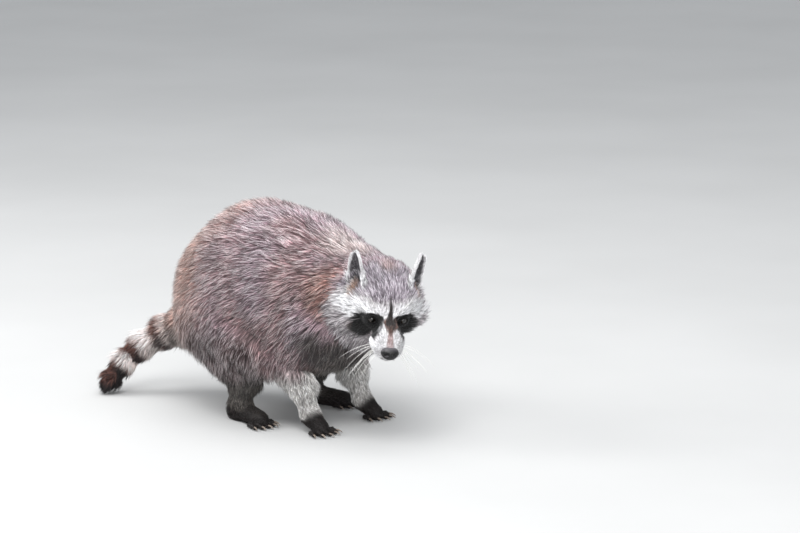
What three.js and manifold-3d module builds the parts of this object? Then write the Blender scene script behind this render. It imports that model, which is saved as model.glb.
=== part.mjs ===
// A life-size raccoon that stands on all four feet, back arched, head lowered and turned to its right.
// Units are millimetres. +X is the animal's left, -Y is forwards, +Z is up, and the floor is Z = 0.
// Each named part is one closed solid, out to the tips of the coat. The flesh is drawn as fields of
// round bones that flow into one another, meshed, and then parted with thin plane cuts.
import * as THREE from "three";
import { mergeVertices } from "three/addons/utils/BufferGeometryUtils.js";
import Module from "manifold-3d";

const wasm = await Module();
wasm.setup();

// ---------- Driving sizes ----------
const GAP = 0.5; // clearance between neighbouring parts
const EYE_RADIUS = 8;
const EYE_SPACING = 43; // between the eye centres
const HEAD_YAW = -39; // degrees, to the animal's right
const HEAD_PITCH = 22; // degrees, nose down
const HEAD_ROLL = 4.8; // degrees, left ear lower
const EAR_HEIGHT = 54;
const EAR_HALF_WIDTH = 16;
const EAR_WALL = 4.5; // with its fur
const GRID_GROWTH = 1.6; // how fast facets widen away from the face
const TRUNK_CELL = [33, 33, 33]; // the size of the facets across, along and up
const UPPER_CELL = [28, 28, 28];
const NECK_CELL = [22, 22, 22];
const TAIL_CELL = [18, 18, 18];
const FACE_CELL = 8;
const LIMB_CELL = [11.5, 14, 12];
const CLAW = { length: 8, radius: 1.8, tipRadius: 0.4, inset: 3, rootRise: 1, tipRise: -3.4 };
const EYE_SETBACK = -3.5; // of the eye's centre behind the lids
const FORE_STEP = -8; // how far the left foot stands ahead of the right
const HIND_STEP = 6;
const TRUNK_BLEND = 20; // how softly limbs and tail flow into the trunk
const NECK_BLEND = 26;
const TRUNK_PAD = 50; // room around bones for the flesh that flows between them
const NECK_PAD = 60;
const LIMB_PAD = 40;
const TAIL_PAD = 30;

const at = (forward, left, up) => new THREE.Vector3(left, -forward, up);
const degrees = THREE.MathUtils.degToRad;

const NOSE = { centre: at(52, 0, -20), width: 25, height: 18, depth: 17, narrowing: 0.32, tilt: 14 };
const EAR = { spacing: 66, rootDepth: 14, cup: 9, tipFlattening: 0.35, narrowing: 0.9, cornerDrop: 0.08 };
const SNOUT = { back: 16, length: 60, width: 90, height: 66, middle: -18, tilt: 6 };
const FORE_DIGITS = { lengths: [15, 21, 23, 21, 14], spread: 14.5, splay: 26, radius: 3.5, rise: -4.5 };
const HIND_DIGITS = { lengths: [15, 22, 24, 23, 17], spread: 15, splay: 18, radius: 3.6, rise: -6 };
const DIGIT_TURN = 4; // degrees, all five outwards
const DIGIT_ROOT = -6; // behind the middle of the palm
const DIGIT_TAPER = 0.8;
const DIGIT_TIP = { reach: 4, rise: -1 };

const BELLY_CUT = 46; // below this height there are only limbs
const LIMBS = {
  fore: {
    names: ["upper_arm", "forearm", "forepaw"],
    haunch: { forward: 60, height: 124, radius: 56, inner: 34 },
    joint: 80,
    ankle: 30,
    toes: FORE_DIGITS,
  },
  hind: {
    names: ["thigh", "shank", "hind_foot"],
    haunch: { forward: -90, height: 110, radius: 88, inner: 38 },
    joint: 64,
    ankle: 30,
    toes: HIND_DIGITS,
  },
};

// ---------- Head frame ----------
// Its origin is midway between the eye centres.
const EYES = at(201.5, -38, 175);
const headTurn = new THREE.Quaternion().setFromEuler(
  new THREE.Euler(degrees(HEAD_PITCH), degrees(HEAD_ROLL), degrees(HEAD_YAW), "ZXY"),
);
const headDirection = (forward, left, up) => at(forward, left, up).applyQuaternion(headTurn);
const onHead = (forward, left, up) => headDirection(forward, left, up).add(EYES);

// ---------- Flesh: bones between joints, with the radius of body and coat at each end ----------
const bone = (from, to, fromRadius, toRadius) => ({ from, to, fromRadius, toRadius });
const chain = (...stations) =>
  stations.slice(1).map(([to, radius], i) => bone(stations[i][0], to, stations[i][1], radius));
const mirrored = (make) => [-1, 1].flatMap((side) => make(side));

const TAIL = [
  [at(-140, -2, 130), 58],
  [at(-206, -8, 108), 36],
  [at(-250, -17, 92), 26],
  [at(-280, -37, 72), 22],
  [at(-297, -60, 49), 20],
  [at(-304, -80, 25), 16],
  [at(-305, -91, 13), 7],
];

const spine = {
  blend: 34,
  bones: [
    ...chain(
      [at(-112, 0, 173), 99],
      [at(-62, 0, 192), 108],
      [at(10, 0, 189), 100],
      [at(68, 0, 181), 82],
      [at(118, 0, 186), 64],
      [onHead(-60, 0, -1), 49],
    ),
    ...chain([at(-134, 0, 134), 68], [at(-60, 0, 146), 80], [at(40, 0, 148), 74]),
  ],
};

const tail = { blend: 12, bones: chain(...TAIL) };

const head = {
  blend: 12,
  bones: [
    bone(onHead(-50, 0, 6), onHead(-26, 0, 10), 48, 37),
    bone(onHead(-16, 0, 1), onHead(26, 0, -14), 25, 17.5),
    bone(onHead(26, 0, -14), onHead(45, 0, -20), 17.5, 12),
    bone(onHead(-20, 0, -24), onHead(36, 0, -30), 24, 10),
    ...mirrored((side) => [
      bone(onHead(-26, side * 26, -9), onHead(-36, side * 42, -10), 24, 20),
      bone(onHead(-36, side * 42, -10), onHead(-50, side * 50, -16), 20, 14),
      bone(onHead(-3, side * 15, 11), onHead(-24, side * 28, 16), 12.5, 19),
      bone(onHead(24, side * 11, -19), onHead(35, side * 9, -23), 12, 10),
    ]),
  ],
  dents: mirrored((side) => [[onHead(12, side * 24, -1), 13]]),
};

const foreLeg = (side, step) => ({
  blend: 10,
  bones: chain(
    [at(80, side * 46, 156), 44],
    [at(30, side * 60, 110), 34],
    [at(60 + step, side * 58, 60), 18],
    [at(76 + step, side * 58, 25), 13.5],
    [at(98 + step, side * 60, 8.5), 12.5],
  ),
});

const hindLeg = (side, step) => ({
  blend: 16,
  bones: [
    ...chain(
      [at(-92, side * 56, 156), 58],
      [at(-22, side * 74, 112), 40],
      [at(-44 + step, side * 70, 60), 21],
      [at(-54 + step, side * 68, 14), 15.5],
      [at(2 + step, side * 84, 10), 13.5],
    ),
    bone(at(-112, side * 52, 134), at(-62, side * 68, 88), 56, 36),
  ],
});

// ---------- Distance fields ----------
const DENT_BLEND = 6;
const smoothMin = (a, b, k) => {
  const h = Math.max(k - Math.abs(a - b), 0) / k;
  return Math.min(a, b) - (h * h * k) / 4;
};

// Distance from a point to two balls and the cone that wraps them.
function boneDistance(p, { from, to, fromRadius, toRadius }) {
  const axis = new THREE.Vector3().subVectors(to, from);
  const out = new THREE.Vector3().subVectors(p, from);
  const length2 = axis.lengthSq();
  const drop = fromRadius - toRadius;
  const slant2 = length2 - drop * drop;
  const y = out.dot(axis);
  const z = y - length2;
  const x2 = out.multiplyScalar(length2).addScaledVector(axis, -y).lengthSq();
  const y2 = y * y * length2;
  const z2 = z * z * length2;
  const k = Math.sign(drop) * drop * drop * x2;
  if (Math.sign(z) * slant2 * z2 > k) return Math.sqrt(x2 + z2) / length2 - toRadius;
  if (Math.sign(y) * slant2 * y2 < k) return Math.sqrt(x2 + y2) / length2 - fromRadius;
  return (Math.sqrt((x2 * slant2) / length2) + y * drop) / length2 - fromRadius;
}

// Bones flow together, and each dent, [centre, radius], presses a soft hollow into them.
const flesh = ({ bones, blend, dents = [] }) => (p) => {
  const filled = bones.reduce((d, b) => smoothMin(d, boneDistance(p, b), blend), 1e3);
  return dents.reduce((d, [centre, r]) => -smoothMin(-d, p.distanceTo(centre) - r, DENT_BLEND), filled);
};

const joined = (k, ...fields) => (p) => fields.reduce((d, f) => smoothMin(d, f(p), k), 1e3);

// A field that ends a little past some cuts: before the first kind, behind the second.
const CUT_MARGIN = 12;
const sideOf = (p, { point, normal }) => p.clone().sub(point).dot(normal);
const ended = (field, front, back) => (p) =>
  Math.max(
    field(p),
    front ? -sideOf(p, front) - CUT_MARGIN : -1e3,
    back ? sideOf(p, back) - CUT_MARGIN : -1e3,
  );

function slope(field, p) {
  const step = 0.5;
  const axes = [0, 1, 2].map((i) => new THREE.Vector3().setComponent(i, step));
  const rise = axes.map((a) => field(p.clone().add(a)) - field(p.clone().sub(a)));
  return new THREE.Vector3(...rise).normalize();
}

// ---------- Meshing: one vertex in each grid cell that the surface crosses ----------
// Grid lines along one axis, CELL apart from START to STOP and wider and wider outside that.
function gridLines(min, max, cell, start = min, stop = max) {
  const lines = [];
  for (let x = start; x < stop + cell; x += cell) lines.push(x);
  for (let gap = cell; lines[0] > min; gap *= GRID_GROWTH) lines.unshift(lines[0] - gap);
  for (let gap = cell; lines.at(-1) < max; gap *= GRID_GROWTH) lines.push(lines.at(-1) + gap);
  return lines;
}

const evenGrid = ({ min, max }, [cellX, cellY, cellZ]) => [
  gridLines(min.x, max.x, cellX),
  gridLines(min.y, max.y, cellY),
  gridLines(min.z, max.z, cellZ),
];

function surfaceOf(field, [xs, ys, zs]) {
  const index = (i, j, k) => i + xs.length * (j + ys.length * k);
  const corner = ([i, j, k]) => new THREE.Vector3(xs[i], ys[j], zs[k]);
  const isEdge = (i, lines) => !i || i === lines.length - 1;
  const values = new Float64Array(xs.length * ys.length * zs.length);
  for (let k = 0; k < zs.length; k++)
    for (let j = 0; j < ys.length; j++)
      for (let i = 0; i < xs.length; i++) {
        const edge = isEdge(i, xs) || isEdge(j, ys) || isEdge(k, zs);
        values[index(i, j, k)] = edge ? 1 : field(corner([i, j, k]));
      }
  const positions = [];
  const vertexOf = new Map();
  const vertexAt = (i, j, k) => {
    const key = index(i, j, k);
    if (vertexOf.has(key)) return vertexOf.get(key);
    const sum = new THREE.Vector3();
    let crossings = 0;
    for (let axis = 0; axis < 3; axis++)
      for (let n = 0; n < 4; n++) {
        const start = [i, j, k];
        start[(axis + 1) % 3] += n & 1;
        start[(axis + 2) % 3] += n >> 1;
        const end = [...start];
        end[axis] += 1;
        const a = values[index(...start)];
        const b = values[index(...end)];
        if (a < 0 === b < 0) continue;
        sum.add(corner(start).lerp(corner(end), a / (a - b)));
        crossings++;
      }
    const p = sum.divideScalar(crossings);
    p.addScaledVector(slope(field, p), -field(p));
    positions.push(...p.toArray());
    vertexOf.set(key, positions.length / 3 - 1);
    return vertexOf.get(key);
  };
  const triangles = [];
  for (let k = 0; k < zs.length - 1; k++)
    for (let j = 0; j < ys.length - 1; j++)
      for (let i = 0; i < xs.length - 1; i++)
        for (let axis = 0; axis < 3; axis++) {
          const step = [0, 0, 0];
          step[axis] = 1;
          const inside = values[index(i, j, k)] < 0;
          if (inside === values[index(i + step[0], j + step[1], k + step[2])] < 0) continue;
          const u = [0, 0, 0];
          const v = [0, 0, 0];
          u[(axis + 1) % 3] = 1;
          v[(axis + 2) % 3] = 1;
          const ring = [
            vertexAt(i - u[0] - v[0], j - u[1] - v[1], k - u[2] - v[2]),
            vertexAt(i - v[0], j - v[1], k - v[2]),
            vertexAt(i, j, k),
            vertexAt(i - u[0], j - u[1], k - u[2]),
          ];
          if (!inside) ring.reverse();
          triangles.push(ring[0], ring[1], ring[2], ring[0], ring[2], ring[3]);
        }
  return new THREE.BufferGeometry()
    .setAttribute("position", new THREE.Float32BufferAttribute(positions, 3))
    .setIndex(triangles);
}

// ---------- Solids: joining and cutting ----------
function welded(geometry) {
  const bare = geometry.clone();
  for (const name of Object.keys(bare.attributes))
    if (name !== "position") bare.deleteAttribute(name);
  return mergeVertices(bare, 1e-4);
}

function solid(geometry) {
  const { attributes, index } = welded(geometry);
  return new wasm.Manifold(
    new wasm.Mesh({
      numProp: 3,
      vertProperties: new Float32Array(attributes.position.array),
      triVerts: new Uint32Array(index.array),
    }),
  );
}

// Faces whose corners are renamed, without those that close up.
const renamed = (faces, name) =>
  faces.map((face) => face.map(name)).filter(([a, b, c]) => a !== b && b !== c && c !== a);

// Where two creases touch, four faces share an edge: joining the edge's ends parts the creases again.
function withoutTouchingCreases(faces) {
  const sharers = new Map();
  for (const face of faces)
    for (let i = 0; i < 3; i++) {
      const ends = [face[i], face[(i + 1) % 3]].sort((a, b) => a - b);
      sharers.set(ends.join(), (sharers.get(ends.join()) ?? 0) + 1);
    }
  const [touching] = [...sharers].find(([, count]) => count > 2) ?? [];
  if (!touching) return faces;
  const [kept, joined] = touching.split(",").map(Number);
  return withoutTouchingCreases(renamed(faces, (corner) => (corner === joined ? kept : corner)));
}

// A solid's mesh, without the specks that cuts leave: vertices closer than this are one.
const SPECK = 0.01;
function geometryOf(manifold) {
  const mesh = manifold.getMesh();
  const raw = new THREE.BufferGeometry()
    .setAttribute("position", new THREE.BufferAttribute(mesh.vertProperties, 3))
    .setIndex(new THREE.BufferAttribute(mesh.triVerts, 1));
  const geometry = mergeVertices(raw, SPECK);
  const corners = Array.from(geometry.index.array);
  const faces = Array.from({ length: corners.length / 3 }, (_, i) => corners.slice(3 * i, 3 * i + 3));
  geometry.setIndex(withoutTouchingCreases(renamed(faces, (corner) => corner)).flat());
  geometry.computeVertexNormals();
  return geometry;
}

// The box that holds some bones.
function reach(bones, pad) {
  const box = new THREE.Box3();
  for (const { from, to, fromRadius, toRadius } of bones)
    for (const [end, radius] of [[from, fromRadius], [to, toRadius]]) {
      box.expandByPoint(end.clone().addScalar(radius + pad));
      box.expandByPoint(end.clone().addScalar(-radius - pad));
    }
  return box;
}

// Everything behind a plane, which faces along its normal.
const FAR = 2000;
function behind(point, normal, offset = 0) {
  const block = new THREE.BoxGeometry(FAR, FAR, FAR);
  const turn = new THREE.Quaternion().setFromUnitVectors(
    new THREE.Vector3(0, 0, 1),
    normal.clone().normalize(),
  );
  block.translate(0, 0, offset - FAR / 2);
  block.applyQuaternion(turn);
  block.translate(...point.toArray());
  return solid(block);
}
const beyond = (point, normal, offset = 0) => behind(point, normal.clone().negate(), -offset);

const up = new THREE.Vector3(0, 0, 1);
const ABOVE_FLOOR = beyond(at(0, 0, 0), up);

// The biggest body of a solid: what is left of a part without the slivers that a cut leaves.
const mainBody = (whole) =>
  whole.decompose().reduce((best, piece) => (piece.volume() > best.volume() ? piece : best));

// The lengths into which planes cut a solid, first to last, with a gap between them.
function lengths(whole, cuts) {
  return [...cuts, null].map((cut, i) => {
    let piece = whole;
    if (cut) piece = piece.intersect(behind(cut.point, cut.normal, -GAP / 2));
    if (i) piece = piece.intersect(beyond(cuts[i - 1].point, cuts[i - 1].normal, GAP / 2));
    return mainBody(piece);
  });
}

// A cut square to the line from a to b, some share of the way along it.
const cutBetween = (a, b, share) => ({
  point: a.clone().lerp(b, share),
  normal: b.clone().sub(a).normalize(),
});

// ---------- Small forms ----------
// A closed tube through stations [point, radius]; a last radius of 0 ends it in a tip.
function tube(stations, sides) {
  const positions = [];
  const triangles = [];
  const points = stations.map(([point]) => point);
  stations.forEach(([point, radius], i) => {
    const before = points[Math.max(i - 1, 0)];
    const after = points[Math.min(i + 1, points.length - 1)];
    const along = after.clone().sub(before).normalize();
    const across = new THREE.Vector3().crossVectors(along, up).normalize();
    const over = new THREE.Vector3().crossVectors(along, across);
    for (let n = 0; n < sides; n++) {
      const turn = (2 * Math.PI * n) / sides;
      const p = point.clone();
      p.addScaledVector(across, radius * Math.cos(turn)).addScaledVector(over, radius * Math.sin(turn));
      positions.push(...p.toArray());
    }
  });
  const ring = (i, n) => i * sides + (n % sides);
  for (let i = 0; i + 1 < stations.length; i++)
    for (let n = 0; n < sides; n++) {
      triangles.push(ring(i, n), ring(i, n + 1), ring(i + 1, n + 1));
      triangles.push(ring(i, n), ring(i + 1, n + 1), ring(i + 1, n));
    }
  const last = stations.length - 1;
  for (let n = 1; n + 1 < sides; n++) {
    triangles.push(ring(0, 0), ring(0, n + 1), ring(0, n));
    triangles.push(ring(last, 0), ring(last, n), ring(last, n + 1));
  }
  return new THREE.BufferGeometry()
    .setAttribute("position", new THREE.Float32BufferAttribute(positions, 3))
    .setIndex(triangles);
}

// A cupped, round-tipped ear, hollow side forwards; its root goes down into the head.
function earGeometry(side, grown = 0) {
  const rows = 6;
  const columns = 6;
  const base = at(-46, (side * EAR.spacing) / 2, 22);
  const tall = at(-4, side * 11, EAR_HEIGHT - 4).normalize();
  const facing = at(1, side * 1.1, 0.12).normalize();
  const wide = new THREE.Vector3().crossVectors(tall, facing).normalize();
  const front = new THREE.Vector3().crossVectors(wide, tall);
  const faceAt = (row, column, face) => {
    const low = -EAR.rootDepth - grown;
    const height = THREE.MathUtils.lerp(low, EAR_HEIGHT + grown, Math.sin((row / rows) * (Math.PI / 2)));
    const share = THREE.MathUtils.clamp(height / EAR_HEIGHT, 0, 1);
    const half = EAR_HALF_WIDTH * Math.sqrt(1 - EAR.narrowing * share ** 3) + grown;
    const across = (2 * column) / columns - 1;
    const rounding = Math.sqrt(1 - EAR.narrowing * across ** 6);
    const wall = (EAR_WALL / 2) * rounding * (1 - EAR.tipFlattening * share) + grown;
    const hollow = EAR.cup * across ** 2 * (1 - share / 2);
    return base
      .clone()
      .addScaledVector(tall, height * (1 - EAR.cornerDrop * share ** 3 * across ** 2))
      .addScaledVector(wide, half * across)
      .addScaledVector(front, hollow + face * wall);
  };
  const positions = [];
  for (const face of [1, -1])
    for (let row = 0; row <= rows; row++)
      for (let column = 0; column <= columns; column++)
        positions.push(...faceAt(row, column, face).toArray());
  const sheet = (rows + 1) * (columns + 1);
  const cornerOf = (row, column, back) => row * (columns + 1) + column + (back ? sheet : 0);
  const triangles = [];
  const quad = (a, b, c, d) => triangles.push(a, b, c, a, c, d);
  for (let row = 0; row < rows; row++)
    for (let column = 0; column < columns; column++) {
      const at4 = (back) => [
        cornerOf(row, column, back),
        cornerOf(row, column + 1, back),
        cornerOf(row + 1, column + 1, back),
        cornerOf(row + 1, column, back),
      ];
      quad(...at4(false));
      quad(...at4(true).reverse());
    }
  // The strip that closes an edge between two neighbouring corners of its rim.
  const rim = ([rowA, columnA], [rowB, columnB]) =>
    quad(
      cornerOf(rowA, columnA),
      cornerOf(rowA, columnA, true),
      cornerOf(rowB, columnB, true),
      cornerOf(rowB, columnB),
    );
  for (let row = 0; row < rows; row++) {
    rim([row + 1, 0], [row, 0]);
    rim([row, columns], [row + 1, columns]);
  }
  for (let column = 0; column < columns; column++) {
    rim([0, column], [0, column + 1]);
    rim([rows, column + 1], [rows, column]);
  }
  return new THREE.BufferGeometry()
    .setAttribute("position", new THREE.Float32BufferAttribute(positions, 3))
    .setIndex(triangles);
}

// The nose pad: broad and rounded above, narrowing to the lip.
function noseGeometry(grown = 0) {
  const geometry = new THREE.SphereGeometry(1, 12, 7);
  const position = geometry.attributes.position;
  for (let i = 0; i < position.count; i++) {
    const p = new THREE.Vector3().fromBufferAttribute(position, i);
    p.x *= 1 - NOSE.narrowing * Math.max(0, -p.z);
    p.multiply(new THREE.Vector3(NOSE.width, NOSE.depth, NOSE.height).divideScalar(2).addScalar(grown));
    position.setXYZ(i, ...p.toArray());
  }
  return geometry.rotateX(degrees(-NOSE.tilt)).translate(...NOSE.centre.toArray());
}

// Five digits that fan out from a palm, each with a claw. They are joined to the foot.
function digits(side, palm, { lengths: reaches, spread, splay, radius, rise }) {
  return reaches.flatMap((reach, i) => {
    const share = (i / (reaches.length - 1)) * 2 - 1; // -1 is the inner digit
    const angle = degrees(share * splay + DIGIT_TURN);
    const heading = at(Math.cos(angle), side * Math.sin(angle), 0);
    const root = palm.clone().add(at(DIGIT_ROOT, side * share * spread, rise));
    const along = (distance, height) => root.clone().addScaledVector(heading, distance).add(at(0, 0, height));
    const tip = reach + DIGIT_TIP.reach;
    const clawRoot = along(tip - CLAW.inset, CLAW.rootRise);
    const clawTip = along(tip + CLAW.length, CLAW.tipRise);
    return [
      tube([[along(0, 0), radius], [along(tip, DIGIT_TIP.rise), radius * DIGIT_TAPER]], 4),
      tube([[clawRoot, CLAW.radius], [clawTip, CLAW.tipRadius]], 3),
    ];
  });
}

// ---------- The whole body, parted with thin cuts ----------
const torso = joined(TRUNK_BLEND, flesh(spine), flesh(tail));
const limbGroups = {
  right_fore: foreLeg(-1, 0),
  left_fore: foreLeg(1, FORE_STEP),
  right_hind: hindLeg(-1, 0),
  left_hind: hindLeg(1, HIND_STEP),
};
const trunkAndHead = joined(NECK_BLEND, torso, flesh(head));
const body = joined(TRUNK_BLEND, trunkAndHead, ...Object.values(limbGroups).map(flesh));

const HEAD_CUT = { point: onHead(-68, 0, 0), normal: headDirection(-1, 0, 0).setZ(0).normalize() };
const NECK_CUT = { point: at(108, 0, 0), normal: at(-1, 0, 0) };
const CHEST_CUT = { point: at(0, 0, 0), normal: at(-1, 0, 0) };
const TAIL_CUT_SHARE = 0.3; // of the way along each length of the tail
const TAIL_CUTS = [1, 2, 3, 4].map((i) => cutBetween(TAIL[i][0], TAIL[i + 1][0], TAIL_CUT_SHARE));

const between = (whole, front, back) =>
  whole
    .intersect(beyond(front.point, front.normal, GAP / 2))
    .intersect(behind(back.point, back.normal, -GAP / 2));

// The stretch of flank and the limb below it: an arch, seen from the side, that starts inside the body.
function flank({ forward, height, radius, inner }, side, grown) {
  const depth = 200;
  const half = radius + grown;
  const arch = new THREE.Shape().moveTo(-half, 0).lineTo(half, 0).lineTo(half, height);
  arch.absarc(0, height, half, 0, Math.PI, false);
  const geometry = new THREE.ExtrudeGeometry(arch, { depth, bevelEnabled: false, curveSegments: 10 });
  geometry.rotateX(Math.PI / 2).rotateZ(Math.PI / 2);
  geometry.translate(side < 0 ? -inner - depth + grown : inner - grown, -forward, 0);
  return solid(geometry);
}

const parts = {};
const TRUNK_RADIUS = 60; // bones of the trunk are thicker than this, the neck's are not
const trunkBox = reach(spine.bones.filter((b) => b.toRadius > TRUNK_RADIUS), TRUNK_PAD);
let trunk = solid(surfaceOf(ended(body, NECK_CUT, TAIL_CUTS[0]), evenGrid(trunkBox, TRUNK_CELL)));
trunk = trunk.intersect(beyond(at(0, 0, BELLY_CUT), up));

const level = (height) => ({ point: at(0, 0, height), normal: at(0, 0, -1) });
for (const [limbName, group] of Object.entries(limbGroups)) {
  const [sideName, end] = limbName.split("_");
  const side = sideName === "left" ? 1 : -1;
  const { haunch, names, joint, ankle, toes } = LIMBS[end];
  const region = flank(haunch, side, 0);
  const box = reach(group.bones, LIMB_PAD);
  const upper = solid(surfaceOf(body, evenGrid(box, UPPER_CELL))).intersect(region);
  const lower = solid(surfaceOf(flesh(group), evenGrid(box, LIMB_CELL)));
  const sole = lower.intersect(beyond(level(ankle).point, level(ankle).normal, GAP / 2));
  const foot = digits(side, group.bones[3].to, toes).reduce((sum, digit) => sum.add(solid(digit)), sole);
  const pieces = [
    between(upper, NECK_CUT, level(joint)),
    between(lower, level(joint), level(ankle)).intersect(region),
    foot.intersect(ABOVE_FLOOR),
  ];
  names.forEach((part, i) => {
    parts[`${sideName}_${part}`] = mainBody(pieces[i]);
  });
  trunk = trunk.subtract(flank(haunch, side, GAP));
}

parts.chest = mainBody(between(trunk, NECK_CUT, CHEST_CUT));
parts.abdomen = mainBody(between(trunk, CHEST_CUT, TAIL_CUTS[0]));
const neckBox = reach(spine.bones.slice(4, 5), NECK_PAD);
const neckFlesh = solid(surfaceOf(ended(body, HEAD_CUT, NECK_CUT), evenGrid(neckBox, NECK_CELL)));
parts.neck = mainBody(between(neckFlesh, HEAD_CUT, NECK_CUT));
const tailBox = reach(tail.bones, TAIL_PAD);
const tailFlesh = solid(surfaceOf(ended(torso, TAIL_CUTS[0]), evenGrid(tailBox, TAIL_CELL)));
const tailBehind = tailFlesh.intersect(beyond(TAIL_CUTS[0].point, TAIL_CUTS[0].normal, GAP / 2));
lengths(tailBehind, TAIL_CUTS.slice(1)).forEach((piece, i) => {
  parts[`tail_${i + 1}`] = piece;
});

// ---------- Head, meshed square to its own frame so that its two sides match ----------
const headMatrix = new THREE.Matrix4().compose(EYES, headTurn, new THREE.Vector3(1, 1, 1));
const inHead = (geometry) => solid(welded(geometry).applyMatrix4(headMatrix));
// The box of the head's mesh in the head's frame, and in it the face, where facets are finest.
const HEAD_BOX = { min: new THREE.Vector3(-100, -76, -120), max: new THREE.Vector3(100, 100, 68) };
const FACE_BOX = { min: new THREE.Vector3(-44, -72, -48), max: new THREE.Vector3(43.2, 12, 24) };
const headGrid = ["x", "y", "z"].map((a) =>
  gridLines(HEAD_BOX.min[a], HEAD_BOX.max[a], FACE_CELL, FACE_BOX.min[a], FACE_BOX.max[a]),
);
const headField = ended(body, null, HEAD_CUT);
const headFlesh = inHead(surfaceOf((p) => headField(p.clone().applyMatrix4(headMatrix)), headGrid));

function eyeGeometry(side, grown = 0) {
  const eye = at(EYE_SETBACK, (side * EYE_SPACING) / 2, 0);
  return new THREE.SphereGeometry(EYE_RADIUS + grown, 12, 7).translate(...eye.toArray());
}

const MOUTH_CUT = { point: onHead(40, 0, -33), normal: headDirection(-0.06, 0, -1).normalize() };
let skull = headFlesh.intersect(behind(HEAD_CUT.point, HEAD_CUT.normal, -GAP / 2));
skull = skull.intersect(behind(NECK_CUT.point, NECK_CUT.normal, -GAP / 2));
for (const [name, side] of [["right", -1], ["left", 1]]) {
  skull = skull.subtract(inHead(eyeGeometry(side, GAP))).subtract(inHead(earGeometry(side, GAP)));
  parts[`${name}_eye`] = inHead(eyeGeometry(side));
  parts[`${name}_ear`] = inHead(earGeometry(side));
}
skull = skull.subtract(inHead(noseGeometry(GAP)));
function snoutBlock(grown) {
  const block = new THREE.BoxGeometry(SNOUT.width, SNOUT.length + grown, SNOUT.height + grown);
  block.rotateX(degrees(-SNOUT.tilt));
  return inHead(block.translate(...at(SNOUT.back + SNOUT.length / 2, 0, SNOUT.middle).toArray()));
}
const snout = skull.intersect(snoutBlock(0));
parts.head = mainBody(skull.subtract(snoutBlock(2 * GAP)));
parts.muzzle = mainBody(snout.intersect(behind(MOUTH_CUT.point, MOUTH_CUT.normal, -GAP / 2)));
parts.jaw = mainBody(snout.intersect(beyond(MOUTH_CUT.point, MOUTH_CUT.normal, GAP / 2)));
parts.nose = inHead(noseGeometry());

// ---------- Colours and the finished group ----------
const COLOURS = {
  fur: 0x8d8078,
  dark_fur: 0x3a322e,
  pale_fur: 0xcfc8be,
  eye: 0x1d1210,
  nose: 0x17181b,
};
const COLOUR_OF = {
  nose: "nose",
  right_eye: "eye",
  left_eye: "eye",
  muzzle: "pale_fur",
  jaw: "pale_fur",
  tail_2: "pale_fur",
  tail_4: "dark_fur",
};

const group = new THREE.Group();
for (const [name, manifold] of Object.entries(parts)) {
  const colour = COLOUR_OF[name] ?? "fur";
  const glossy = colour === "eye" || colour === "nose";
  const material = new THREE.MeshStandardMaterial({
    color: COLOURS[colour],
    roughness: glossy ? 0.2 : 0.9,
    metalness: 0,
  });
  const mesh = new THREE.Mesh(geometryOf(manifold), material);
  mesh.name = name;
  group.add(mesh);
}

// The frame's origin is under the middle of the animal's length and width.
const centre = new THREE.Box3().setFromObject(group).getCenter(new THREE.Vector3());
group.position.set(-centre.x, -centre.y, 0);

export default group;
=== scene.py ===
# A life-size raccoon on all fours: one skin, a coat of solid tufts, eyes, nose, claws and whiskers.
# Shapes are worked out in millimetres in the animal's own frame, (left, back, up), and become metres
# as each piece is made. The skin follows the bones of the CAD solids, set in by the coat's depth.
import math

import bpy
import numpy as np
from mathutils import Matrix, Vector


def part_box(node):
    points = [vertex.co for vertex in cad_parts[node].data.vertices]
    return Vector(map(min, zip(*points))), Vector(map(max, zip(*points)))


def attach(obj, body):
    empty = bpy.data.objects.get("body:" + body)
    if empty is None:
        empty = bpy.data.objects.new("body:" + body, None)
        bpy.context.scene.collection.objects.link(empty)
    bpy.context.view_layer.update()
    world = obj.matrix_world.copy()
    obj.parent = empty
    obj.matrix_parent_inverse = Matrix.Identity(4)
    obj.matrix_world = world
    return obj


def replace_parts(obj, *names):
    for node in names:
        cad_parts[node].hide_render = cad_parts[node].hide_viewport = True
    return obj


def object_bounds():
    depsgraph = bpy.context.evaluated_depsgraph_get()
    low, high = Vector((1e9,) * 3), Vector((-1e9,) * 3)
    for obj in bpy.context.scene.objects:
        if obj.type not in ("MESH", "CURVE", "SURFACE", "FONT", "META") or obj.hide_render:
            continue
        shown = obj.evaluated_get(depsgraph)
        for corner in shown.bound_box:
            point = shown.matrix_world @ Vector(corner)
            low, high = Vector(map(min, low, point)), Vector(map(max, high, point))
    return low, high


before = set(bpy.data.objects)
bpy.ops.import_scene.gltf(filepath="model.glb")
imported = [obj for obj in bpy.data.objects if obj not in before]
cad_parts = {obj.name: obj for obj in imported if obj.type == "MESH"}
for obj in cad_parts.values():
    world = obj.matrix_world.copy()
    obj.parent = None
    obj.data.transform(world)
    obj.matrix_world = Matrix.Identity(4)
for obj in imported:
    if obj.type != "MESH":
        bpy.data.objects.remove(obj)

import openvdb
from mathutils import Matrix, Vector

cad_low, cad_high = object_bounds()
MM = 0.001
RANDOM = np.random.default_rng(11)

# ---------- Driving sizes, as in the CAD solids ----------
EYE_RADIUS = 8.0
EYE_SPACING = 43.0
EYE_SETBACK = -3.5
HEAD_YAW, HEAD_PITCH, HEAD_ROLL = -39.0, 22.0, 4.8
EAR_HEIGHT = 54.0
EAR_HALF_WIDTH = 16.0
EAR_CUP = 9.0
EAR_ROOT_DEPTH = 14.0
FORE_STEP, HIND_STEP = -8.0, 6.0
CLAW_LENGTH = 8.0
FORE_DIGITS = {"lengths": (15, 21, 23, 21, 14), "spread": 14.5, "splay": 26, "radius": 3.5, "rise": -4.5}
HIND_DIGITS = {"lengths": (15, 22, 24, 23, 17), "spread": 15, "splay": 18, "radius": 3.6, "rise": -6}

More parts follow.
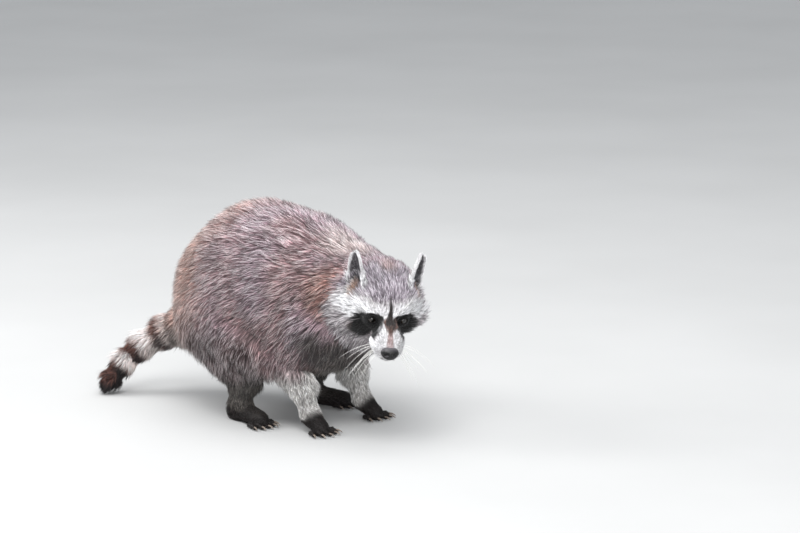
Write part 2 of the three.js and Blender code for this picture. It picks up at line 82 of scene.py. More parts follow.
# ---------- Camera, as the animal is seen ----------
IMAGE_WIDTH, IMAGE_HEIGHT = 800, 533
CAMERA_AZIMUTH, CAMERA_ELEVATION = -48.0, 11.0
CAMERA_DISTANCE = 4500.0
MM_PER_PIXEL = 1.43  # at the distance of the animal
FLOOR_PIXEL = (300.0, 416.0)  # where the animal's own origin appears


def at(forward, left, up):
    return np.array([left, -forward, up], float)


def turn(axis, degrees):
    return np.array(Matrix.Rotation(math.radians(degrees), 3, axis))


def length_of(vectors):
    return np.linalg.norm(vectors, axis=-1)


def columns(*arrays):
    return np.stack(arrays, axis=-1)


def grid_of(*axes):
    """The points of a grid, one to a row."""
    return columns(*np.meshgrid(*axes, indexing="ij")).reshape(-1, len(axes))


def unit(vectors):
    return vectors / np.maximum(length_of(vectors)[..., None], 1e-9)


# ---------- Head frame: its origin is midway between the eyes ----------
EYES = at(201.5, -38, 175)
HEAD_TURN = turn("Z", HEAD_YAW) @ turn("X", HEAD_PITCH) @ turn("Y", HEAD_ROLL)


def head_direction(forward, left, up):
    return HEAD_TURN @ at(forward, left, up)


def on_head(forward, left, up):
    return EYES + head_direction(forward, left, up)


def in_head(points):
    """Points in the head's own frame, as (forward, left, up)."""
    own = (points - EYES) @ HEAD_TURN
    return columns(-own[:, 1], own[:, 0], own[:, 2])


# From the animal's own origin to the frame's, by where the CAD has the left eye.
eye_low, eye_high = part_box("left_eye")
SHIFT = np.array((eye_low + eye_high) / 2) / MM - on_head(EYE_SETBACK, EYE_SPACING / 2, 0)

# ---------- Flesh: bones between joints ----------
# A station is (point, radius out to the coat's tips, depth of the coat). The coat lies along the bone
# from its first station, or against it, or on the head away from the nose.
ALONG, AGAINST, FROM_NOSE = 1, -1, 0


def chain(flow, *stations):
    return [(*a, *b, flow) for a, b in zip(stations, stations[1:])]


def both_sides(make):
    return make(-1) + make(1)


TAIL = (
    (at(-140, -2, 130), 58, 14),
    (at(-206, -8, 108), 36, 13),
    (at(-250, -17, 92), 26, 12),
    (at(-280, -37, 72), 22, 11),
    (at(-297, -60, 49), 20, 11),
    (at(-304, -80, 25), 16, 10),
    (at(-305, -91, 13), 7, 4.5),
)

SPINE_BLEND, TAIL_BLEND, HEAD_BLEND, FORE_BLEND, HIND_BLEND = 34, 12, 12, 10, 16
spine = [
    *chain(
        AGAINST,
        (at(-112, 0, 173), 99, 16),
        (at(-62, 0, 192), 108, 17),
        (at(10, 0, 189), 100, 17),
        (at(68, 0, 181), 82, 15),
        (at(118, 0, 186), 64, 13),
        (on_head(-60, 0, -1), 49, 9),
    ),
    *chain(AGAINST, (at(-134, 0, 134), 68, 14), (at(-60, 0, 146), 80, 14), (at(40, 0, 148), 74, 14)),
]
tail = chain(ALONG, *TAIL)


def half_head(side):
    return [
        *chain(
            FROM_NOSE,
            (on_head(-26, side * 26, -9), 24, 8),
            (on_head(-36, side * 42, -10), 20, 11),
            (on_head(-50, side * 50, -16), 14, 9),
        ),
        *chain(FROM_NOSE, (on_head(-3, side * 15, 11), 12.5, 2.5), (on_head(-24, side * 28, 16), 19, 6)),
        *chain(FROM_NOSE, (on_head(24, side * 11, -19), 12, 1.5), (on_head(35, side * 9, -23), 10, 1.2)),
    ]


head = [
    *chain(FROM_NOSE, (on_head(-50, 0, 6), 48, 7), (on_head(-26, 0, 10), 37, 6)),
    *chain(
        FROM_NOSE,
        (on_head(-16, 0, 1), 25, 3),
        (on_head(26, 0, -14), 17.5, 1.8),
        (on_head(45, 0, -20), 12, 1.2),
    ),
    *chain(FROM_NOSE, (on_head(-20, 0, -24), 24, 6), (on_head(36, 0, -30), 10, 1.8)),
    *both_sides(half_head),
]


def fore_leg(side, step):
    return chain(
        ALONG,
        (at(80, side * 46, 156), 44, 12),
        (at(30, side * 60, 110), 34, 10),
        (at(60 + step, side * 58, 60), 18, 4.5),
        (at(76 + step, side * 58, 25), 13.5, 2.5),
        (at(98 + step, side * 60, 8.5), 12.5, 1.3),
    )


def hind_leg(side, step):
    return [
        *chain(
            ALONG,
            (at(-92, side * 56, 156), 58, 13),
            (at(-22, side * 74, 112), 40, 10),
            (at(-44 + step, side * 70, 60), 21, 5.5),
            (at(-54 + step, side * 68, 14), 15.5, 2.5),
            (at(2 + step, side * 84, 10), 13.5, 1.3),
        ),
        *chain(ALONG, (at(-112, side * 52, 134), 56, 13), (at(-62, side * 68, 88), 36, 9)),
    ]


LEGS = {
    "right_fore": (fore_leg(-1, 0), -1, FORE_BLEND, FORE_DIGITS),
    "left_fore": (fore_leg(1, FORE_STEP), 1, FORE_BLEND, FORE_DIGITS),
    "right_hind": (hind_leg(-1, 0), -1, HIND_BLEND, HIND_DIGITS),
    "left_hind": (hind_leg(1, HIND_STEP), 1, HIND_BLEND, HIND_DIGITS),
}
PALM_BONE = 3  # the bone whose second station is the palm


def digit_lines(side, palm, form):
    """(root, knuckle, tip, heading) of each digit, fanned out from the palm."""
    lines = []
    for i, reach in enumerate(form["lengths"]):
        share = i / 2 - 1  # -1 is the inner digit
        angle = math.radians(share * form["splay"] + 4)
        heading = at(math.cos(angle), side * math.sin(angle), 0)
        root = palm + at(-6, side * share * form["spread"], form["rise"])
        knuckle = root + heading * (reach + 4) * 0.55 + at(0, 0, 1.6)
        tip = root + heading * (reach + 3) - at(0, 0, 0.6)
        lines.append((root, knuckle, tip, heading))
    return lines


def digits_of(leg):
    bones, side, _, form = leg
    return digit_lines(side, bones[PALM_BONE][3], form)


DIGIT_COAT = 0.7
TOES = [
    bone
    for leg in LEGS.values()
    for root, knuckle, tip, _ in digits_of(leg)
    for bone in chain(
        ALONG,
        (root, leg[3]["radius"] + 0.4, DIGIT_COAT),
        (knuckle, leg[3]["radius"], DIGIT_COAT),
        (tip, leg[3]["radius"] - 0.8, DIGIT_COAT),
    )
]


# ---------- Distance fields ----------
def smooth_min(a, b, blend):
    h = np.maximum(blend - np.abs(a - b), 0) / blend
    return np.minimum(a, b) - h * h * blend / 4


def smooth_max(a, b, blend):
    return -smooth_min(-a, -b, blend)


def ball(points, centre, radius):
    return length_of(points - np.array(centre)) - radius


def cone_distance(points, start, start_radius, end, end_radius):
    """Distance to two balls and the cone that wraps them."""
    axis = end - start
    out = points - start
    length2 = axis @ axis
    drop = start_radius - end_radius
    slant2 = length2 - drop * drop
    y = out @ axis
    z = y - length2
    across = out * length2 - y[:, None] * axis
    x2 = np.einsum("ij,ij->i", across, across)
    y2 = y * y * length2
    z2 = z * z * length2
    k = np.sign(drop) * drop * drop * x2
    cone = (np.sqrt(x2 * slant2 / length2) + y * drop) / length2 - start_radius
    past_start = np.sqrt(x2 + y2) / length2 - start_radius
    past_end = np.sqrt(x2 + z2) / length2 - end_radius
    found = np.where(np.sign(y) * slant2 * y2 < k, past_start, cone)
    return np.where(np.sign(z) * slant2 * z2 > k, past_end, found)


def flesh(points, bones, blend, coat):
    """Bones that flow together, out to the tips of the coat (coat 1) or to the skin (coat 0)."""
    total = None
    inset = 1 - coat
    for start, start_radius, start_depth, end, end_radius, end_depth, _ in bones:
        radii = start_radius - inset * start_depth, end_radius - inset * end_depth
        bone = cone_distance(points, start, radii[0], end, radii[1])
        total = bone if total is None else smooth_min(total, bone, blend)
    return total


# ---------- Features that the skin adds ----------
LID_THICKNESS, LID_FUR = 1.5, 0.9
LID_JOIN, LID_EDGE = 4, 1.2  # how softly the lids flow into the face, and how round their edges are
LIDS_MEET = 0.45  # how far ahead of the eye's middle its opening starts, as a share of its radius
EYE_TILT = 9.0  # degrees that the outer corner is raised
EYE_OUTWARD = 8.0  # degrees between the lids' axis and the head's
LID_HALF_WIDTH, UPPER_LID, LOWER_LID = 6.0, 4.0, 3.4
EYE_LEFTWARD = 0.24  # both eyes look a little to the animal's left
NOSE_CENTRE = np.array((52, 0, -20))
MOUTH_POINT, MOUTH_NORMAL = np.array((40, 0, -33)), np.array((-0.06, 0, -1))
MOUTH_LENGTH, MOUTH_HALF_HEIGHT, MOUTH_DEPTH = 22, 0.5, 2.2
JAW, JAW_REACH = (34, 0, -32), 30  # the mouth ends this far from the jaw's middle
EYE_SOCKET, SOCKET_RADIUS = (12, 24, -1), 13


def eye_frame(side):
    """(centre, axes) of an eye: rows are its outward axis, across and up."""
    centre = on_head(EYE_SETBACK, side * EYE_SPACING / 2, 0)
    angle, tilt = math.radians(EYE_OUTWARD), math.radians(EYE_TILT)
    out = unit(head_direction(math.cos(angle), side * math.sin(angle) + EYE_LEFTWARD, 0.12))
    across = unit(np.cross(out, head_direction(0, 0, 1)) * -side)  # towards the outer corner
    up = np.cross(across, out) * side
    up = up if up @ head_direction(0, 0, 1) > 0 else -up
    tilted = across * math.cos(tilt) + up * math.sin(tilt)
    return centre, np.stack([out, tilted, up * math.cos(tilt) - across * math.sin(tilt)])


def in_eye(points, side):
    centre, axes = eye_frame(side)
    return (points - centre) @ axes.T


def lid_gap(own, wider=0.0, taller=0.0):
    """Distance to the almond between the lids, seen along the eye's own axis."""
    arch = 1 - np.clip(np.abs(own[:, 1]) / (LID_HALF_WIDTH + wider), 0, 1.4) ** 2
    return np.maximum(own[:, 2] - (UPPER_LID + taller) * arch, -own[:, 2] - (LOWER_LID + taller) * arch)


def with_lids(points, distance, fur):
    """A field with each eye's lids drawn over the eyeball and opened between them."""
    for side in (-1, 1):
        own = in_eye(points, side)
        cover = length_of(own) - EYE_RADIUS - LID_THICKNESS - fur
        distance = smooth_min(distance, cover, LID_JOIN)
        opening = np.maximum(lid_gap(own), EYE_RADIUS * LIDS_MEET - own[:, 0])
        distance = smooth_max(distance, -opening, LID_EDGE)
    return distance


def ear_frame(side):
    """(base, axes) of an ear: rows are across, front and tall."""
    tall = unit(at(-4, side * 11, EAR_HEIGHT - 4))
    facing = unit(at(1, side * 1.1, 0.12))
    wide = unit(np.cross(tall, facing))
    axes = np.stack([wide, np.cross(wide, tall), tall])
    return on_head(-46, side * 33, 22), axes @ HEAD_TURN.T


def ear_own(points, side):
    base, axes = ear_frame(side)
    return (points - base) @ axes.T


EAR_SKIN = 1.1  # half the ear's thickness
EAR_EDGE = 1.0  # fur past its edge
EAR_NARROWING = 2.6
EAR_RISE = 3.0  # the rounded tip stands above the solid's height
EAR_ROUNDING = 1.5  # of its edges


def ear_half_width(share):
    return (EAR_HALF_WIDTH - EAR_NARROWING) * np.sqrt(1 - 0.9 * share**3)


def ear_field(points, side):
    across, front, tall = ear_own(points, side).T
    height = EAR_HEIGHT + EAR_RISE
    share = np.clip(tall / height, 0, 1)
    half = ear_half_width(share)
    place = np.clip(across / half, -1.3, 1.3)
    middle = EAR_CUP * place**2 * (1 - 0.5 * share)
    lean = np.sqrt(1 + (2 * EAR_CUP * place / half * (1 - 0.5 * share)) ** 2)
    wall = np.abs(front - middle) / lean - EAR_SKIN * (1 + 0.5 * (1 - share))
    edge = (np.abs(across) - half) * 0.9
    top = tall - height * (1 - 0.08 * share**3 * np.minimum(place**2, 1))
    ends = np.maximum(top, -EAR_ROOT_DEPTH - tall)
    return smooth_max(smooth_max(wall, edge, EAR_ROUNDING), ends, EAR_ROUNDING)


def mouth_groove(points):
    own = in_head(points) - MOUTH_POINT
    away = np.abs(own @ unit(MOUTH_NORMAL)) - MOUTH_HALF_HEIGHT
    reach = own[:, 0] + MOUTH_LENGTH  # as far as the corners of the mouth
    return np.maximum(away, -reach)


SOLE_HEIGHT = 0.3
# How softly each part flows into the body.
TAIL_JOIN, SKULL_JOIN, SOCKET_JOIN, LEG_JOIN, LEG_COAT_JOIN, EAR_JOIN = 20, 26, 6, 20, 24, 5
TOE_BLEND, TOE_JOIN = 1.5, 2.5


def body_field(points, coat):
    """The body without its ears: to the skin (coat 0), or to the coat's tips (coat 1)."""
    body = flesh(points, spine, SPINE_BLEND, coat)
    body = smooth_min(body, flesh(points, tail, TAIL_BLEND, coat), TAIL_JOIN)
    skull = flesh(points, head, HEAD_BLEND, coat)
    ahead, aside, high = EYE_SOCKET
    for side in (-1, 1):
        socket = ball(points, on_head(ahead, side * aside, high), SOCKET_RADIUS)
        skull = smooth_max(skull, -socket, SOCKET_JOIN)
    body = smooth_min(body, skull, SKULL_JOIN)
    for bones, _, blend, _ in LEGS.values():
        body = smooth_min(body, flesh(points, bones, blend, coat), LEG_JOIN + LEG_COAT_JOIN * coat)
    body = smooth_min(body, flesh(points, TOES, TOE_BLEND, coat), TOE_JOIN)
    return with_lids(points, body, LID_FUR * coat)


def skin_field(points):
    """Distance to the skin."""
    body = body_field(points, 0)
    for side in (-1, 1):
        body = smooth_min(body, ear_field(points, side), EAR_JOIN)
    groove = np.maximum(mouth_groove(points), ball(in_head(points), JAW, JAW_REACH))
    body = smooth_max(body, -np.maximum(groove, -body - MOUTH_DEPTH), 0.8)
    return smooth_max(body, SOLE_HEIGHT - points[:, 2], 1.0)


def coat_field(points):
    """Distance to the surface through the coat's tips."""
    body = body_field(points, 1)
    for side in (-1, 1):
        body = smooth_min(body, ear_field(points, side) - EAR_EDGE, EAR_JOIN)
    return body


CHUNK = 60000


def in_chunks(function, *arrays):
    """What a function makes of long arrays, some rows at a time."""
    starts = range(0, len(arrays[0]), CHUNK)
    return np.concatenate([function(*(a[i : i + CHUNK] for a in arrays)) for i in starts])


def slope(field, points, step=0.25):
    """The unit gradient of a field."""
    rises = []
    for axis in np.eye(3):
        ahead = in_chunks(field, points + step * axis)
        rises.append(ahead - in_chunks(field, points - step * axis))
    return unit(columns(*rises))


# ---------- Meshing ----------
BLOCK = 4  # fine cells along each side of a coarse one


def field_volume(field, low, high, cell):
    """A field's samples on a grid, exact near its surface and rough elsewhere."""
    counts = np.ceil((high - low) / (BLOCK * cell)).astype(int)
    starts = [low[a] + BLOCK * cell * np.arange(counts[a]) for a in range(3)]
    corners = grid_of(*starts)
    rough = in_chunks(field, corners + BLOCK * cell / 2)
    near = np.abs(rough) < cell * (BLOCK * 0.87 + 2)
    offsets = grid_of(*[cell * np.arange(BLOCK)] * 3)
    fine = in_chunks(field, (corners[near][:, None] + offsets).reshape(-1, 3))
    blocks = np.repeat(rough[:, None], BLOCK**3, axis=1).astype(np.float32)
    blocks[near] = fine.reshape(-1, BLOCK**3)
    volume = blocks.reshape(*counts, BLOCK, BLOCK, BLOCK).transpose(0, 3, 1, 4, 2, 5)
    return np.ascontiguousarray(volume.reshape(*(counts * BLOCK)))


def polygons_of(field, low, high, cell, adaptivity=0.0):
    """(points, faces) of a field's surface."""
    grid = openvdb.FloatGrid(background=10 * cell)
    grid.copyFromArray(field_volume(field, low, high, cell))
    grid.transform = openvdb.createLinearTransform(voxelSize=cell)
    points, triangles, quads = grid.convertToPolygons(isovalue=0.0, adaptivity=adaptivity)
    points = points.astype(float) + low
    for _ in range(2):
        points = points - slope(field, points) * in_chunks(field, points)[:, None]
    return points, triangles[:, ::-1], quads[:, ::-1]


def new_mesh(name, points, *face_groups):
    """A mesh with points in millimetres in the body's frame."""
    mesh = bpy.data.meshes.new(name)
    placed = ((points + SHIFT) * MM).astype(np.float32)
    mesh.vertices.add(len(placed))
    mesh.vertices.foreach_set("co", placed.ravel())
    corners = np.concatenate([faces.ravel() for faces in face_groups]).astype(np.int32)
    sizes = np.concatenate([np.full(len(faces), faces.shape[1]) for faces in face_groups])
    mesh.loops.add(len(corners))
    mesh.loops.foreach_set("vertex_index", corners)
    mesh.polygons.add(len(sizes))
    starts = np.concatenate([[0], np.cumsum(sizes)[:-1]]).astype(np.int32)
    mesh.polygons.foreach_set("loop_start", starts)
    mesh.update(calc_edges=True)
    mesh.shade_smooth()
    return mesh


def linked(name, data):
    """A new object in the scene."""
    holder = bpy.data.objects.new(name, data)
    bpy.context.scene.collection.objects.link(holder)
    return holder


def new_piece(name, material, slot, points, *face_groups):
    piece = linked(name, new_mesh(name, points, *face_groups))
    piece.data.materials.append(material)
    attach(piece, "root")
    return piece


ATTRIBUTES = {"value": "FLOAT", "vector": "FLOAT_VECTOR", "color": "FLOAT_COLOR"}


def set_attribute(piece, name, kind, values):
    """Values at a piece's points: a "value", a "vector" or a "color" each."""
    attribute = piece.data.attributes.new(name, ATTRIBUTES[kind], "POINT")
    attribute.data.foreach_set(kind, values.astype(np.float32).ravel())


def set_hair_colours(piece, colours):
    set_attribute(piece, "hair", "color", np.concatenate([colours, np.ones((len(colours), 1))], axis=1))


# ---------- Markings ----------
def linear(code):
    """A hex colour as linear light."""
    values = np.array([int(code[i : i + 2], 16) / 255 for i in (0, 2, 4)])
    return np.where(values < 0.04045, values / 12.92, ((values + 0.055) / 1.055) ** 2.4)


# Underfur, the pale band, pale tips, dark tips and the share of hairs with pale tips.
STYLES = {
    "back": "423235 a88e97 f1e8ed 2f2528 0.46",
    "rust": "4c3128 a87b6f e6cdc4 462b22 0.44",
    # The rump's colours are rusty fur made paler by painted light from behind; the tail's base takes them
    # too.
    "rump": "6a483d cfa698 f8e4dc 6e4b40 0.58",
    "nape": "877672 cbbcb9 f2eceb 8a7a76 0.60",
    # Dark fur low on the backs of the thighs, darkened further as painted shade under the body.
    "haunch": "1f1918 6e6161 ded4d5 1c1616 0.42",
    "belly": "4d4038 8d7e73 bbaea3 41362f 0.40",
    "chest": "1a1512 4d4541 aaa39f 171210 0.30",
    "leg": "9d9894 dedbd8 f7f5f3 a9a4a0 0.66",
    # Dark fur of the lower hind legs, darkened further as painted shade.
    "shank": "2c2725 655f5a 9c9690 26211f 0.38",
    "paw": "130f0e 251d1c 4a3e3c 0e0a0a 0.22",
    "crown": "58505a a0959f e6e0e7 464046 0.50",
    "crown_tan": "8a6f68 bf9f98 dcc5c0 7d615a 0.50",
    "white": "b6b1b3 e4e3e5 f6f6f7 c8c4c8 0.80",
    "cheek": "8a8286 bcb5b8 ece8ea 625a5d 0.50",
    "mask": "060505 0e0b0c 1b1719 040303 0.25",
    "mask_brown": "38241b 6d4f42 9a7b6a 2c1c16 0.30",
    "stripe": "100b0a 251815 43322d 0e0908 0.26",
    "bridge": "3a2721 745449 ad8c80 2a1b17 0.38",
    "pink": "a48f90 c9b4b4 e9dfdf 977d7d 0.52",
    "ear_dark": "2b292b 58555a b2afb2 1c1a1b 0.40",
    "ear_back": "4a4441 89817d b9b2ae 3a3532 0.45",
    "ear_tan": "54392a 94705a c7a58f 3c281e 0.42",
    "black": "0d0a0a 1c1718 322c2d 080606 0.20",
    "ring_dark": "1f1213 352122 5c4040 150b0c 0.25",
    "ring_rust": "3f231c 764a3f ad7c6d 2f1813 0.33",
    "ring_white": "c1b3b0 ece2e0 fdf8f6 cdbfbb 0.75",
    "tail_tip": "0f0a0a 1b1213 392728 090505 0.22",
    "tail_end": "6f5a4c b39a86 d9c6b4 6f5a4c 0.50",
    "tail_under": "6b625e a8a09c d8d2ce 5b514c 0.50",
    "throat": "8a8380 c8c3c1 efecea 8a8380 0.60",
}


def style_row(text):
    *codes, share = text.split()
    return np.array([*(value for code in codes for value in linear(code)), float(share)])


LINEAR_STYLES = {name: style_row(text) for name, text in STYLES.items()}


def fade(distance, softness):
    """1 well inside a distance field, 0 well outside it."""
    share = np.clip(0.5 - distance / softness, 0, 1)
    return share * share * (3 - 2 * share)


DRIFT_CELLS = 32  # along each side of the block of random vectors, which repeats
DRIFT_OFFSET = 500  # keeps cell numbers above 0


def drift(points, size, seed):
    """Smooth random vectors between -1 and 1 that change over a size in millimetres."""
    table = np.random.default_rng(seed).uniform(-1, 1, (*(DRIFT_CELLS,) * 3, 3))
    places = points / size + DRIFT_OFFSET
    base = np.floor(places).astype(int)
    share = places - base
    share = share * share * (3 - 2 * share)
    total = np.zeros_like(points)
    for corner in np.ndindex(2, 2, 2):
        weight = np.prod(np.where(corner, share, 1 - share), axis=1)
        total += weight[:, None] * table[tuple(((base + corner) % DRIFT_CELLS).T)]
    return total


def polygon_distance(x, y, corners):
    """Distance to a flat outline, negative inside it."""
    best = np.full(len(x), 1e9)
    inside = np.zeros(len(x), bool)
    for (x0, y0), (x1, y1) in zip(corners, corners[1:] + corners[:1]):
        run, rise = x1 - x0, y1 - y0
        share = np.clip(((x - x0) * run + (y - y0) * rise) / (run * run + rise * rise), 0, 1)
        best = np.minimum(best, np.hypot(x - x0 - share * run, y - y0 - share * rise))
        if rise:
            inside ^= ((y0 > y) != (y1 > y)) & (x < run * (y - y0) / rise + x0)
    return np.where(inside, -best, best)


def along_tail(points):
    """(length along the tail, distance from its middle line, height towards its upper side)."""
    best = np.full(len(points), 1e9)
    place = np.zeros(len(points))
    height = np.zeros(len(points))
    run = 0.0
    for (start, _, _), (end, _, _) in zip(TAIL, TAIL[1:]):
        axis = end - start
        length = length_of(axis)
        upper = unit(np.array([0, 0, 1.0]) - axis * axis[2] / length**2)
        share = np.clip((points - start) @ axis / length**2, 0, 1)
        offset = points - start - share[:, None] * axis
        away = length_of(offset)
        nearer = away < best
        best = np.where(nearer, away, best)
        place = np.where(nearer, run + share * length, place)
        height = np.where(nearer, offset @ upper, height)
        run += length
    return place, best, height


# The mask on one side of the face, as (sideways, up): the patch round the eye, and before its corner
MASK_OUTLINE = (
    *((8.5, 13.8), (14, 15), (21, 14), (30, 10), (38, 6), (44, 0), (50, -11), (49.5, -21)),
    *((46, -32), (37, -37), (28, -38), (22, -33), (19, -9), (14.5, 0), (9.5, 5.5), (7.5, 10)),
)
MASK_CORNER = ((8.5, 13), (8.5, 2), (10.5, -7), (13, -15), (22, -18), (22, 12))
TAIL_RINGS = ((104, 4.5, 0.7), (138, 6.0, 0.95), (187, 8.0, 1.0))  # (place, half width, strength)
TAIL_PALE = ((121, 8, 0.6), (163, 14, 1.0), (206, 9.5, 1.0))
TAIL_START, TAIL_TIP_START, TAIL_END = 74, 217, 252


class Markings:
    """Styles painted over each other at some points. `own` has the points in the head's frame."""

    def __init__(self, points):
        self.points = points
        self.own = in_head(points)
        self.wander = drift(points, 14, 3)
        self.fine = drift(points, 4, 5)
        self.rows = np.tile(LINEAR_STYLES["back"], (len(points), 1))

    def paint(self, style, share):
        share = np.clip(share, 0, 1)[:, None]
        self.rows = self.rows * (1 - share) + LINEAR_STYLES[style] * share


def mark_trunk(m):
    points, wander = m.points, m.wander
    broad = drift(points, 45, 9)
    left, back, up = points.T
    forward = -back
    # Rusty fur over the rear, in colours made paler as painted light falling from behind.
    m.paint("rump", 0.88 * fade(forward + 100 + 30 * broad[:, 0] + 6 * wander[:, 0], 110))
    for side in (-1, 1):
        shoulder = ball(points, at(118, side * 62, 205), 42)
        m.paint("rust", 0.85 * fade(shoulder + 10 * broad[:, 1], 40))
    m.paint("rust", np.clip(0.55 * broad[:, 2] + 0.1, 0, 0.4))
    m.paint("nape", 0.8 * fade(ball(points, at(88, 0, 262), 38) + 8 * broad[:, 0], 46))
    m.paint("belly", 0.8 * fade(up - 92 + 10 * broad[:, 1], 50) * fade(np.abs(left) - 62, 30))
    m.paint("chest", 0.95 * fade(up - 138 + 10 * wander[:, 0], 40) * fade(74 - forward, 30))
    # Dark fur low on the rear thighs, darkened further as painted shade under the body.
    haunch = fade(up - 118 + 10 * wander[:, 0], 60) * fade(forward - 12, 30)
    m.paint("haunch", 0.9 * haunch * fade(-forward - 150, 30))


def mark_legs(m):
    points, wander = m.points, m.wander
    forward, up = -points[:, 1], points[:, 2]
    fore = fade(30 - forward, 12)
    m.paint("leg", fade(up - 74 + 6 * wander[:, 1], 26) * fore)
    # The lower hind legs: dark fur, darkened further as painted shade.
    m.paint("shank", fade(up - 58 + 6 * wander[:, 1], 26) * (1 - fore) * fade(-forward - 120, 20))
    for bones, _, _, _ in LEGS.values():
        wrist, palm = bones[PALM_BONE][0], bones[PALM_BONE][3]
        foot = cone_distance(points, wrist * 0.35 + palm * 0.65, 16.0, palm + at(24, 0, -2), 24.0)
        foot = np.minimum(foot, up - 15)
        m.paint("paw", fade(foot + 2 * wander[:, 2], 9) * np.where(fore > 0.5, 1, 0.75))


def mark_tail(m):
    wander = m.wander
    place, away, height = along_tail(m.points)
    on_tail = fade(away - 62, 4) * fade(TAIL_START - place + 4 * wander[:, 0], 30)
    upper = fade(-height - 1 + 3 * wander[:, 2], 16)
    # The tail's base in the rump's colours, with their painted light.
    m.paint("rump", on_tail * 0.8)
    m.paint("tail_under", on_tail * 0.7 * (1 - upper) * fade(place - 180, 60))
    ragged = place + 3.0 * wander[:, 1] + 1.5 * m.fine[:, 0]
    for middle, half, strength in TAIL_PALE:
        pale_ring = on_tail * strength * fade(np.abs(ragged - middle) - half, 9)
        m.paint("ring_white", pale_ring * (0.95 - 0.25 * (1 - upper)))
    for middle, half, strength in TAIL_RINGS:
        ring = on_tail * strength * fade(np.abs(ragged - middle) - half, 6)
        m.paint("ring_dark", ring)
        m.paint("ring_rust", 0.7 * ring * upper)
    tip = on_tail * fade(TAIL_TIP_START - ragged, 7)
    m.paint("tail_tip", tip)
    m.paint("ring_rust", 0.75 * tip * fade(-height + 6 + 4 * wander[:, 2], 8))
    m.paint("tail_end", on_tail * fade(TAIL_END - place + 5 * wander[:, 0], 10))


def mark_head(m):
    """Crown, brow and cheeks, and the white of the muzzle."""
    wander, own = m.wander, m.own
    ahead, aside, high = own.T
    side = np.abs(aside)
    brow_line = np.interp(side, (0, 10, 38, 50, 70), (31, 31.5, 31.5, 28, 17))
    face = fade(-ahead - 64 + 4 * wander[:, 0], 26) * fade(ball(own, (-30, 0, 0), 86), 8)
    ruff = fade(-ahead - 50 + 3 * wander[:, 1], 12) * fade(ball(own, (-30, 0, 0), 90), 8)
    m.paint("crown", face * fade(brow_line - high - 10, 20))
    m.paint("crown_tan", 0.55 * fade(ball(own, (-58, 3, 54), 12) + 3 * wander[:, 0], 14))
    m.paint("cheek", ruff * fade(high - brow_line + 2 * wander[:, 2], 8))
    streaky = 5 * wander[:, 1] + 3 * m.fine[:, 1]
    white = fade(high - brow_line + 5 + streaky, 16) * fade(-18 - high + 0.2 * side + streaky, 16)
    m.paint("white", ruff * white)
    m.paint("throat", ruff * fade(ball(own, (22, 0, -36), 24) + streaky, 12))
    snout = fade(ball(own, (36, 0, -20), 30), 8)
    m.paint("white", snout * fade(14 - ahead + 0.4 * high, 10) * fade(high + 2, 8))


def mark_mask(m):
    wander, fine = m.wander, m.fine
    ahead, aside, high = m.own.T
    side = np.abs(aside)
    mask = polygon_distance(side, high, MASK_OUTLINE) - 1.0 + 1.0 * wander[:, 0] + 0.6 * fine[:, 0]
    mask = np.maximum(mask, np.minimum(ahead - 20, -high - 11))  # not on the sides of the muzzle
    corner = polygon_distance(side, high, MASK_CORNER) + 0.6 * fine[:, 0]
    mask = np.minimum(mask, np.maximum(corner, ahead - 21))
    before = fade(-ahead - 26, 8)
    outer = ball(columns(ahead, side, high), (-10, 46, -26), 12)
    brown = fade(outer, 14) + 0.5 * fade(np.abs(mask) - 0.5, 3)
    m.paint("mask_brown", 0.8 * brown * fade(mask - 4.5, 6) * fade(high + 2, 10) * before)
    m.paint("mask", fade(mask, 2.6) * before)


def mark_stripe(m):
    """The stripe down the forehead and the bridge."""
    ahead, aside, high = m.own.T
    along = (-4, 3, 8, 12, 17, 24, 30, 36, 42, 52)
    width = np.interp(ahead, along, (1.0, 1.8, 2.8, 5.4, 7.4, 7.0, 4.6, 3.2, 3.0, 4.6))
    middle = np.interp(ahead, (0, 14, 22, 42), (2.2, 2.8, 2.6, 0.0))
    stripe = np.abs(aside - middle) - width + 0.9 * m.fine[:, 2] + 0.6 * m.wander[:, 1]
    above = fade(-high - 16, 4)
    m.paint("bridge", fade(stripe - 2.6, 2.4) * fade(12 - ahead, 8) * fade(ahead - 34, 12) * above)
    m.paint("bridge", fade(stripe, 2.4) * fade(26 - ahead, 6) * fade(ahead - 50, 10) * above)
    m.paint("pink", 0.7 * fade(stripe, 3) * fade(39 - ahead, 8) * above * fade(ahead - 62, 4))
    top = fade(-ahead - 4, 5) * fade(high - 41, 6) * fade(-10 - high, 6)
    m.paint("stripe", fade(stripe, 1.6) * top * fade(ahead - 29 + 7 * m.fine[:, 1], 6))


def mark_ears(m):
    fine = m.fine
    for side in (-1, 1):
        across, front, tall = ear_own(m.points, side).T
        share = np.clip(tall / EAR_HEIGHT, 0, 1)
        half = ear_half_width(share)
        edge = np.minimum(half - np.abs(across), (EAR_HEIGHT + EAR_RISE - tall) * 0.8)
        inside = front > EAR_CUP * (across / half) ** 2 * (1 - 0.5 * share)
        on_ear = fade(ear_field(m.points, side) - 2.5, 1.5) * fade(2 - tall, 5)
        m.paint("ear_dark", on_ear * inside)
        m.paint("ear_back", on_ear * ~inside)
        rim = np.where(across * side < 0, 3.6, 2.6)
        m.paint("white", on_ear * fade(edge - rim + 1.2 * fine[:, 0], 2.0))
        m.paint("white", 0.85 * on_ear * ~inside * fade(30 - tall, 16))

        def away(out, ahead, up):
            return length_of(columns(across * side - out, front - ahead, tall - up))

        m.paint("ear_tan", 0.95 * fade(away(0, 5, 0) - 16 + 2 * fine[:, 0], 8) * (front > 2))
        m.paint("black", 0.85 * fade(away(0, -9, -2) - 11 + 2 * fine[:, 1], 7))
        m.paint("black", 0.8 * fade(away(13, -1, -1) - 6.5 + 2 * fine[:, 2], 6))


